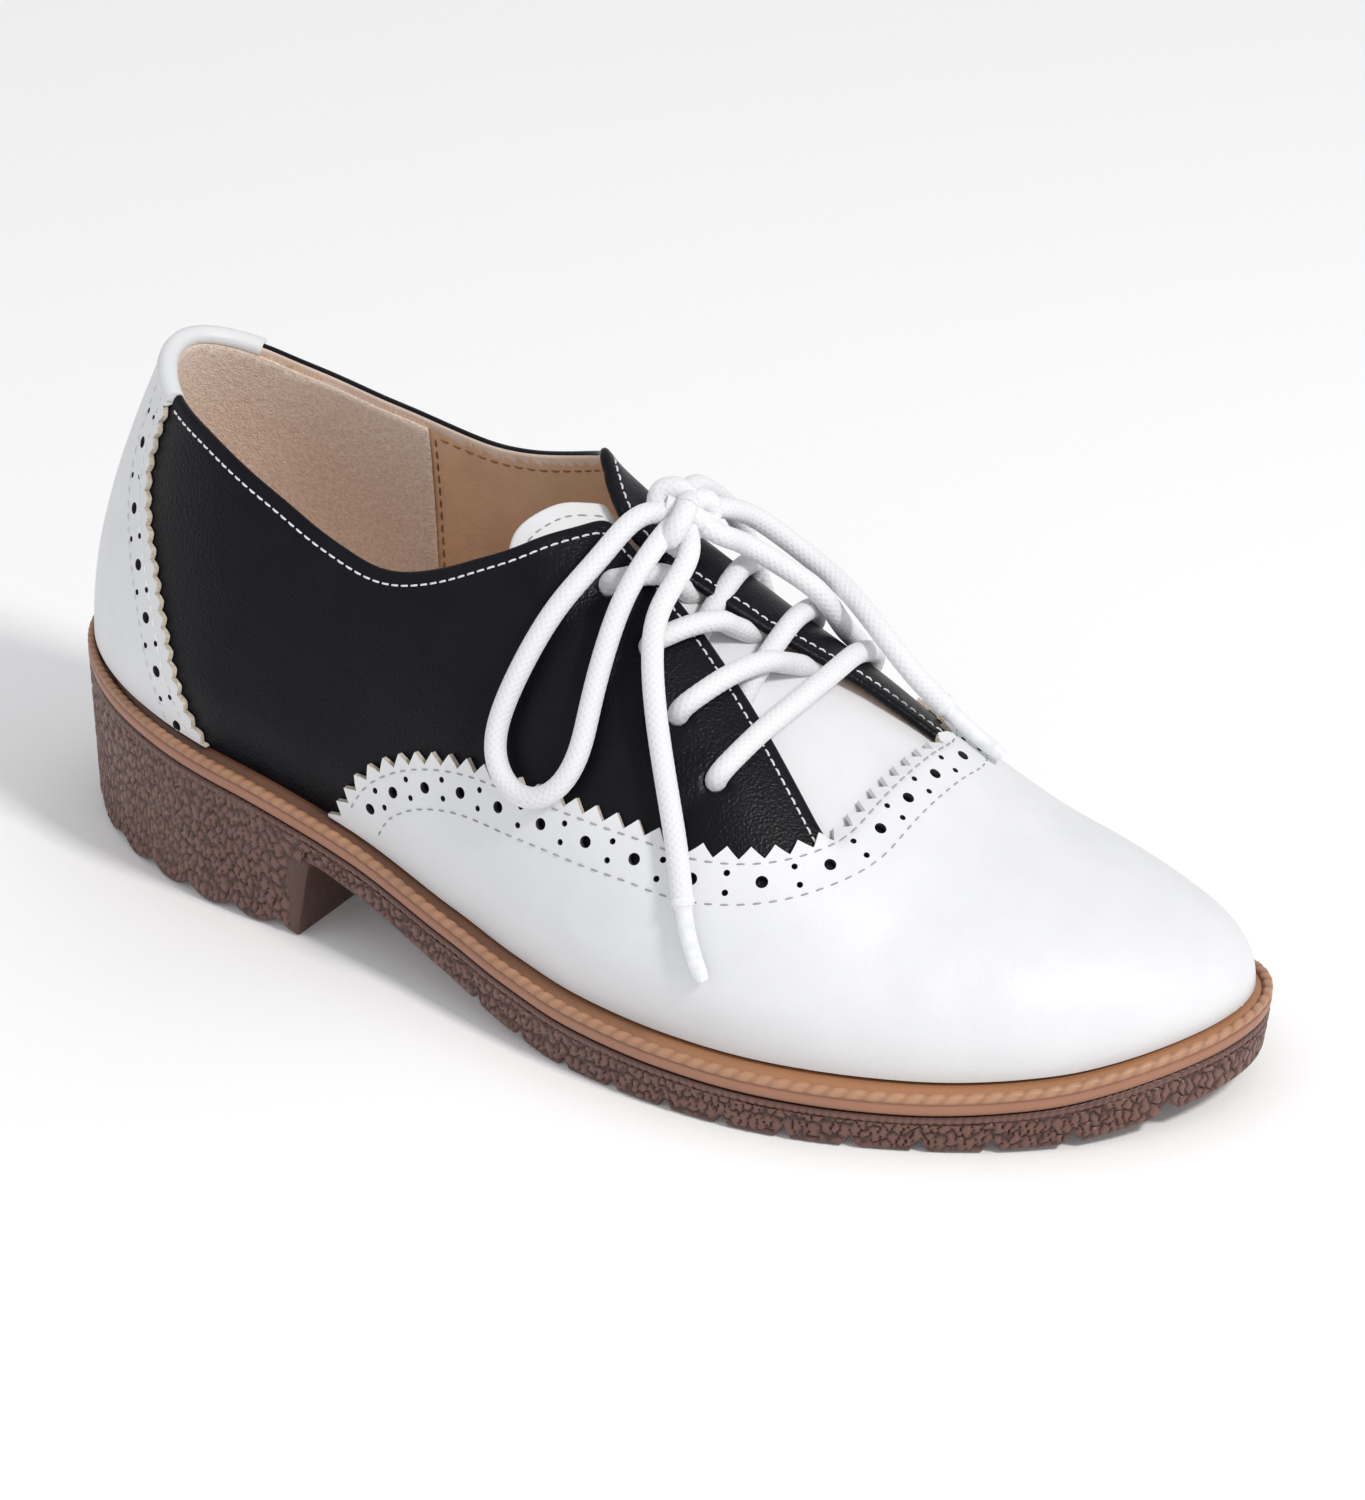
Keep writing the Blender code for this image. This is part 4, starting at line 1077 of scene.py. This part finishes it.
# Each free piece: turn at which it leaves the knot, turn at which it comes back, rows of (s, y, lift)
FREE_LACE = {
    "lace_loop_lateral": (-128, -86, (
        (130.6, -19.0, ON_LACE), (128.4, -27.0, ON_WING + 1.5), (126.0, -34.5, ON_WING),
        (124.6, -38.8, ON_WING), (127.0, -41.1, ON_WING), (133.5, -42.9, ON_WING),
        (140.0, -42.4, ON_WING), (142.4, -39.2, ON_WING), (141.0, -34.0, ON_WING),
        (139.2, -27.0, ON_WING + 1.5), (137.4, -19.5, ON_LACE))),
    "lace_end_lateral": (-40, None, (
        (143.4, -19.0, ON_LACE), (147.2, -25.4, ON_LACE), (152.4, -31.0, ON_WING + 2),
        (158.6, -36.8, ON_WING), (165.2, -42.6, ON_WING), (171.7, -48.4, ON_WING),
        (176.4, -50.2, ON_WING))),
    "lace_loop_medial": (22, 114, (
        (144.0, 4.0, ON_LACE), (148.6, 6.4, ON_LACE), (153.2, 8.0, ON_LACE), (158.0, 10.0, ON_LACE),
        (161.6, 14.0, ON_UPPER + 2), (162.6, 19.5, ON_UPPER), (161.8, 25.0, ON_WING),
        (158.6, 28.2, ON_WING), (152.0, 29.0, ON_WING), (145.4, 27.6, ON_WING), (142.0, 24.0, ON_WING),
        (139.6, 19.0, ON_WING + 2), (136.8, 12.5, ON_LACE))),
    "lace_end_medial": (68, None, (
        (141.4, 10.0, ON_LACE + 2), (146.6, 12.8, ON_LACE + 2), (153.4, 14.4, ON_LACE + 2),
        (161.6, 13.4, ON_LACE + 2), (170.2, 11.8, ON_LACE + 1), (178.4, 13.0, ON_WING + 3),
        (183.6, 17.2, ON_WING + 1), (188.6, 19.0, ON_WING), (196.0, 19.4, ON_WING)))}


def knot_axes():
    """Unit steps at the knot along the instep, across it to the inner side, and off it."""
    along = skin_point(KNOT_S + 1, KNOT_Y, 0) - skin_point(KNOT_S - 1, KNOT_Y, 0)
    across = skin_point(KNOT_S, KNOT_Y + 1, 0) - skin_point(KNOT_S, KNOT_Y - 1, 0)
    along, across = along / np.linalg.norm(along), across / np.linalg.norm(across)
    off = np.cross(along, across)
    return along, across, off / np.linalg.norm(off)


def knot_exit(turn, away):
    """A strand's place off the knot, turned from the toe direction in the plane of the instep."""
    along, across, _ = knot_axes()
    way = along * math.cos(math.radians(turn)) + across * math.sin(math.radians(turn))
    return KNOT_AT + way / np.linalg.norm(way) * (KNOT + away)


def eased(points):
    """Smooth route through points with its corners relaxed, as a limp cord takes them; its ends stay."""
    fine = curve(points, 0.4)
    run = run_of(fine)
    at = np.linspace(0, run[-1], int(run[-1] / EASE_STEP) + 1)
    path = np.stack([np.interp(at, run, fine[:, k]) for k in range(3)], -1)
    for _ in range(EASE_PASSES):
        path[1:-1] += 0.5 * (0.5 * (path[:-2] + path[2:]) - path[1:-1])
    return curve(path, 0.4)


def build_crossings():
    """Lace in the throat: the front bar over both facings, then three crossings out of the throat."""
    lateral, medial = EYELETS[LATERAL], EYELETS[MEDIAL]
    over = ((0.2, -1.4), (0.41, 1.5), (0.65, 2.2), (0.88, ON_UPPER))       # share of the way, lift
    under = ((0.2, -2.8), (0.45, -0.9), (0.65, 1.4), (0.86, ON_UPPER))
    shares = (0.07, 0.22, 0.4, 0.6, 0.78, 0.93)

    def between(a, b, share):
        return a[0] + (b[0] - a[0]) * share, a[1] + (b[1] - a[1]) * share

    def into(eyelet):
        s, y = eyelet
        return [skin_point(s, y - math.copysign(shift, y), lift) for shift, lift in INTO_EYELET]

    bar = into(lateral[0])[::-1]
    for share in shares:
        s, y = between(lateral[0], medial[0], share)
        bar.append(skin_point(s + BAR_BOW * math.sin(math.pi * share), y, ON_UPPER))
    routes = [bar + into(medial[0])]
    for n in (1, 2, 3):
        s_far, s_near = lateral[n][0] + LEAD[LATERAL], medial[n][0] + LEAD[MEDIAL]
        far, near = (s_far, FACING[MEDIAL](s_far)), (s_near, FACING[LATERAL](s_near))
        for start, inwards, eyelet, rises in ((far, 1, lateral[n], over), (near, -1, medial[n], under)):
            route = [skin_point(start[0], start[1] + 5.0 * inwards, UNDER_FACING),
                     skin_point(start[0], start[1] + 0.5 * inwards, UNDER_FACING + 0.2)]
            route += [skin_point(*between(start, eyelet, share), lift) for share, lift in rises]
            routes.append(route + into(eyelet))
    cord_piece("lace_crossings", [curve(route, 0.4) for route in routes],
               ("lace_bar_1", "lace_cross_2", "lace_cross_3", "lace_cross_4"))


def build_knot():
    """Bow knot: a turn of the cord round the middle, and a side turn out of it each way."""
    along, across, off = knot_axes()
    turn = math.radians(KNOT_TURN)
    loops = along * math.cos(turn) + across * math.sin(turn)
    over = across * math.cos(turn) - along * math.sin(turn)
    angle = np.linspace(0, 2 * math.pi, 73)
    axes = np.stack([loops, over, off])
    middle = KNOT_AT + np.array(WRAP_AT) @ axes
    wrap = middle + WRAP * (np.outer(np.cos(angle), off) + np.outer(np.sin(angle), over))
    wrap = wrap + np.outer(0.9 * np.sin(angle), loops)
    sides = [curve([KNOT_AT + np.array(row) @ axes for row in rows], 0.4) for rows in KNOT_SIDES]
    cord_piece("lace_knot_cord", [wrap, *sides], ("lace_knot",))


def build_tip(name, path):
    """Tip of a lace end along the last stretch of its route."""
    share = np.arange(len(path)) / (len(path) - 1)
    taper = TIP_RADIUS * np.interp(share, (0, 0.06, 0.12, 0.9, 1), (1.45, 1.5, 1.12, 1.0, 0.75))
    verts, faces, _ = tube(path, taper, 20)
    return piece(name, verts, faces, (TIP,))


def build_free_lace():
    """Loops and ends that come out of the knot, each end with its tip."""
    for name, (first, last, rows) in FREE_LACE.items():
        points = [knot_exit(first, -2.5), knot_exit(first, KNOT_LEAD)] + [skin_point(*row) for row in rows]
        if last is not None:
            points += [knot_exit(last, KNOT_LEAD), knot_exit(last, -2.5)]
        path = eased(points)
        tips = []
        if last is None:
            left = run_of(path)[-1] - run_of(path)
            tips = [build_tip(name.replace("end", "tip"), path[left < TIP_LENGTH])]
            path = path[left > TIP_LENGTH - 2.0]
        made = cord_piece(name + "_cord", [path], (name,))


# Sole


def sole_loop(step):
    u = np.arange(U_HEEL, U_TOE + 0.6, step)
    s = roll(np.append(u, U_TOE + 0.6))
    return s, *feather_line(s)


def around(values):
    """Values per section, for the lateral points and back along the medial ones."""
    return np.concatenate([values, values[-2:0:-1]])


def underside(s):
    """Height of the tread's edge: arch, breast, and lug notches, rounded lobes under the heel."""
    arch = np.where(s < HEEL_BREAST - 3, 0.0, SOLE["arch"](s))
    slant = np.clip((s - HEEL_BREAST + 3) / 3, 0, 1)
    base = np.where(s < HEEL_BREAST, slant * SOLE["arch"](HEEL_BREAST), arch)
    for (first, count), heel in ((HEEL_LUGS, True), (FORE_LUGS, False)):
        lug = np.round((s - first) / LUG_PITCH).clip(0, count - 1) * LUG_PITCH + first
        apart = np.abs(s - lug)
        if heel:
            notch = np.clip(1 - 2 * apart / LUG_PITCH, 0, 1) ** 2.2
            notch = np.where(s < HEEL_BREAST - 4, notch, 0.0)
        else:
            notch = np.clip(1 - apart / LUG_HALF, 0, 1)
        base = base + LUG_DEPTH * notch
    return base


def pebbles(run, height, length):
    """Relief of the pebbled side: 0 in the grooves, 1 on the stones, which lean a little."""
    rng = np.random.default_rng(11)
    columns, rows = int(length / STONE_WIDE), 16
    squeeze = STONE_WIDE / STONE_TALL
    tree = KDTree(3 * columns * rows)
    for i in range(columns):
        for j in range(rows):
            x = (i + 0.5 * (j % 2) + rng.uniform(-0.36, 0.36)) * length / columns
            z = (j + rng.uniform(-0.4, 0.4)) * STONE_TALL
            for copy in (-1, 0, 1):
                tree.insert((x + copy * length, z * squeeze, 0), 0)
    tree.balance()
    turns = 2 * math.pi / length
    lean = 0.07 * np.sin(9 * turns * run) + 0.05 * np.sin(23 * turns * run)
    x = run + lean * height + 0.25 * np.sin(2.6 * height + 131 * turns * run)
    z = height + 0.4 * np.sin(97 * turns * run + 1.1 * np.sin(1.7 * height))
    near = [tree.find_n((a, b * squeeze, 0), 2) for a, b in zip(x, z)]
    gap = np.array([b[2] - a[2] for a, b in near])
    core = np.array([a[2] for a, _ in near])
    edge = np.clip(gap / 0.6, 0, 1)
    return edge * edge * (3 - 2 * edge) * (1 - 0.18 * core)


STONE_WIDE, STONE_TALL, STONE_RELIEF = 1.75, 3.2, 0.55
TOP_ROW, TOP_STONE = 1.7, 1.6       # height of the row of small stones under the welt, and their pitch
TOP_INSET, FOOT_INSET = 0.5, (2.2, 1.4)     # side behind the welt's rim: at the top, at heel and fore foot
EDGE_ROUND, SIDE_GAP = 0.9, 0.25


def build_outsole():
    """Rubber sole: pebbled side standing on lugs, smooth breast, flat tread."""
    s, loop, normal, width = sole_loop(0.42)
    station = around(s)
    low = underside(station)
    taper = np.where(station < HEEL_BREAST, *FOOT_INSET)
    rim = loop + normal * width[:, None]
    run = run_of(rim)
    length = run[-1] + np.linalg.norm(rim[0] - rim[-1])
    high = seat(rim[:, 0]) - WELT_HEIGHT - FIT
    levels = np.linspace(0, 1, 60)
    heights = low + np.outer(levels, high - low)
    # The relief shapes the stones and also colours them: painted shade in the grooves between stones and
    # between the small stones under the welt
    relief_and_painted_shade = pebbles(np.tile(run, len(levels)), heights.ravel(), length).reshape(heights.shape)
    below = np.clip((high - heights) / TOP_ROW, 0, 1)
    beads = 0.45 + 0.55 * np.abs(np.sin(math.pi * run / TOP_STONE + 0.8 * np.sin(run / 3.1)))
    relief_and_painted_shade = np.where(below < 1, np.sin(math.pi * below) ** 0.6 * beads, relief_and_painted_shade)
    fade = np.clip((heights - low - 0.4) / 1.2, 0, 1)
    relief_and_painted_shade = relief_and_painted_shade * fade + 0.4 * (1 - fade)
    # The breast is smooth and painted darker than the stones, as painted shade
    breast = (station > HEEL_BREAST - 4.5) & (station < HEEL_BREAST)
    relief_and_painted_shade = np.where(breast & (heights < SOLE["arch"](HEEL_BREAST)), 0.35, relief_and_painted_shade)
    rings = []
    for k, share in enumerate(levels):
        edge = np.clip(1 - (heights[k] - low) / EDGE_ROUND, 0, 1)
        inset = taper + (TOP_INSET - taper) * share + EDGE_ROUND * (1 - np.sqrt(1 - edge ** 2)) + SIDE_GAP
        out = width - inset + STONE_RELIEF * relief_and_painted_shade[k]
        rings.append(np.column_stack([loop + normal * out[:, None], heights[k]]))
    count = len(loop)
    faces = ring_faces(count, len(rings), False)
    faces += lid_faces(0, count, False) + lid_faces((len(rings) - 1) * count, count, True)
    piece("outsole_rubber", np.vstack(rings), faces, (SOLE_RUBBER,), relief_and_painted_shade=relief_and_painted_shade.ravel(),
          replaces=("outsole",))


def build_welt():
    """Welt: channel sloping down from the upper, rope bead with slanted ribs, plain band."""
    s, loop, normal, width = sole_loop(0.42)
    rim = loop + normal * width[:, None]
    run = run_of(rim)
    station = around(s)
    pitch = np.interp(station, (60.0, 210.0), BEAD_PITCH)
    phase = np.concatenate([[0], np.cumsum(np.diff(run) / pitch[1:])])
    phase *= round(phase[-1]) / phase[-1]
    # Painted light along the channel: dark at the heel, light towards the toe
    channel_painted_light = np.interp(station, (20.0, 80.0, 130.0, 190.0), (0.0, 0.15, 0.6, 1.0))
    # Rows of (kind, distance or angle, height, material, shade); a distance is from the upper or the rim.
    # The shade is painted light and shade: dark where the channel meets the upper and the bead and at the
    # band's top and foot, light on the slopes between
    rows = [("upper", -WALL, -WELT_HEIGHT, 0, 0.0), ("upper", -WALL, 0.0, 0, 0.0)]
    rows += [("upper", 0.25, 0.0, 0, 0.4), ("upper", 0.9, -0.35, 0, 0.9)]
    rows += [("rim", -2.3, -1.05, 0, 1.0), ("rim", -1.95, -1.3, 0, 0.3)]
    rows += [("bead", angle, 0.0, 1, 0.5) for angle in np.radians(np.linspace(170, -40, 14))]
    rows += [("rim", -0.35, -2.05, 2, 0.15), ("rim", -0.1, -2.4, 2, 0.9), ("rim", -0.12, -3.4, 2, 1.0),
             ("rim", -0.3, -4.1, 2, 0.7), ("rim", -0.5, -4.45, 2, 0.4), ("rim", -0.9, -WELT_HEIGHT, 2, 0.0)]
    rings, relief_and_painted_shade, zones = [], [], []
    for kind, distance, height, zone, shade in rows:
        if kind == "bead":
            rib = np.abs(np.sin(math.pi * (phase - 0.16 * distance))) ** 0.7
            inner = 0.35 + 0.65 * np.clip((math.degrees(distance) - 10) / 60, 0, 1)
            size = BEAD_RADIUS * (1 - BEAD_RIB * inner * (1 - rib))
            out = width - 1.0 + size * math.cos(distance)
            height = -1.2 + size * math.sin(distance)
            # Painted shade between the bead's ribs, and on the bead towards the heel
            relief_and_painted_shade.append((0.4 + 0.6 * rib) * np.interp(station, (20.0, 200.0), (0.7, 1.0)))
        else:
            out = distance + (width if kind == "rim" else 0)
            relief_and_painted_shade.append(shade * (channel_painted_light if zone == 0 else np.ones(len(run))))
        plan = loop + normal * np.broadcast_to(out, (len(run),))[:, None]
        rings.append(np.column_stack([plan, seat(plan[:, 0]) + height]))
        zones += [zone] * len(run)
    faces = ring_faces(len(loop), len(rings), True)
    piece("welt_rubber", np.vstack(rings), faces, (CHANNEL, BEAD, BAND), zones,
          np.concatenate(relief_and_painted_shade), 60, ("welt",))


BEAD_PITCH = (2.4, 3.6)          # ribs of the bead at the heel and at the toe
BEAD_RADIUS, BEAD_RIB = 0.98, 0.34


def build_insole():
    """Insole with its sock, dished a little under the foot."""
    s, loop, normal, _ = sole_loop(1.6)
    inner = loop + normal * (-WALL - INSOLE_FIT)
    count = len(loop)
    middle = (inner + inner[(-np.arange(count)) % count]) / 2
    rings = []
    for share, lift in ((1.0, FIT - WELT_HEIGHT), (1.0, INSOLE_ABOVE - 0.6), (0.97, INSOLE_ABOVE),
                        (0.8, INSOLE_ABOVE - 0.3), (0.55, INSOLE_ABOVE - 0.8), (0.25, INSOLE_ABOVE - 1.0)):
        plan = middle + (inner - middle) * share
        rings.append(np.column_stack([plan, seat(plan[:, 0]) + lift]))
    faces = ring_faces(count, len(rings), False)
    faces += lid_faces(0, count, False) + lid_faces((len(rings) - 1) * count, count, True)
    piece("insole_sock", np.vstack(rings), faces, (SOCK,), replaces=("insole",))


# Studio

EYE = np.array((681.9, -914.9, 606.5))          # camera, in the tables' millimetres
AZIMUTH, ELEVATION, ROLL = 30.9, 24.3, 1.22     # degrees
FOCAL, PHOTO_MIDDLE = 5757.0, (682.5, 750.0)    # in the photograph's pixels
VIEW_MIDDLE, VIEW_WIDTH = (697.0, 1117.0), 1240.0
SENSOR = 36.0


def build_camera():
    """Camera at the photograph's place and angle to the shoe, turned to the middle of the shoe."""
    azimuth, elevation, tilt = (math.radians(a) for a in (AZIMUTH, ELEVATION, ROLL))
    ahead = np.array((-math.sin(azimuth) * math.cos(elevation), math.cos(azimuth) * math.cos(elevation),
                      -math.sin(elevation)))
    level = np.array((math.cos(azimuth), math.sin(azimuth), 0.0))
    raised = np.cross(level, ahead)
    right = level * math.cos(tilt) + raised * math.sin(tilt)
    up = raised * math.cos(tilt) - level * math.sin(tilt)
    shift = (np.array(VIEW_MIDDLE) - PHOTO_MIDDLE) / FOCAL
    aim = ahead + right * shift[0] - up * shift[1]
    aim /= np.linalg.norm(aim)
    up -= aim * np.dot(up, aim)
    up /= np.linalg.norm(up)
    right = np.cross(aim, up)
    data = bpy.data.cameras.new("camera")
    data.sensor_fit, data.sensor_width = "HORIZONTAL", SENSOR
    data.lens = SENSOR * FOCAL / VIEW_WIDTH
    camera = bpy.data.objects.new("camera", data)
    turned = Matrix([[*row] for row in np.stack([right, up, -aim], -1)]).to_4x4()
    camera.matrix_world = Matrix.Translation(Vector((EYE - ORIGIN) * MM)) @ turned
    bpy.context.scene.collection.objects.link(camera)
    bpy.context.scene.camera = camera


def area_light(name, place_m, size, watts, colour):
    data = bpy.data.lights.new(name, "AREA")
    data.size, data.energy, data.color = size, watts, colour
    light = bpy.data.objects.new(name, data)
    light.location = place_m
    light.rotation_euler = (Vector((0, 0, 0.04)) - Vector(place_m)).to_track_quat("-Z", "Y").to_euler()
    bpy.context.scene.collection.objects.link(light)


def build_studio():
    """White floor in a bright room, key light from the camera's right and a soft one from its left."""
    mesh = bpy.data.meshes.new("floor")
    mesh.from_pydata([(-3, -3, 0), (3, -3, 0), (3, 3, 0), (-3, 3, 0)], [], [(0, 1, 2, 3)])
    floor = bpy.data.objects.new("floor", mesh)
    paper = plain("floor", (0.98, 0.98, 0.98), 0.8, 0.01)
    glow = paper.node_tree.nodes["Principled BSDF"].inputs
    glow["Emission Color"].default_value = (1, 1, 1, 1)
    glow["Emission Strength"].default_value = 0.06
    mesh.materials.append(paper)
    bpy.context.scene.collection.objects.link(floor)
    area_light("key", (0.95, -0.22, 1.1), 0.22, 11.5, (1.0, 0.985, 0.965))
    area_light("left", (-0.7, -1.2, 0.9), 1.2, 1.8, (0.96, 0.98, 1.0))
    world = bpy.data.worlds.new("studio")
    world.use_nodes = True
    world.node_tree.nodes["Background"].inputs["Color"].default_value = (0.97, 0.98, 1.0, 1)
    world.node_tree.nodes["Background"].inputs["Strength"].default_value = 0.61
    bpy.context.scene.world = world
    bpy.context.scene.view_settings.view_transform = "Standard"


build_camera()
build_studio()
build_crossings()
build_knot()
build_free_lace()
build_outsole()
build_welt()
build_insole()
build_upper()
build_heel_lining()
build_binding()
build_tongue()
build_vamp()
build_counter()
build_stitches()
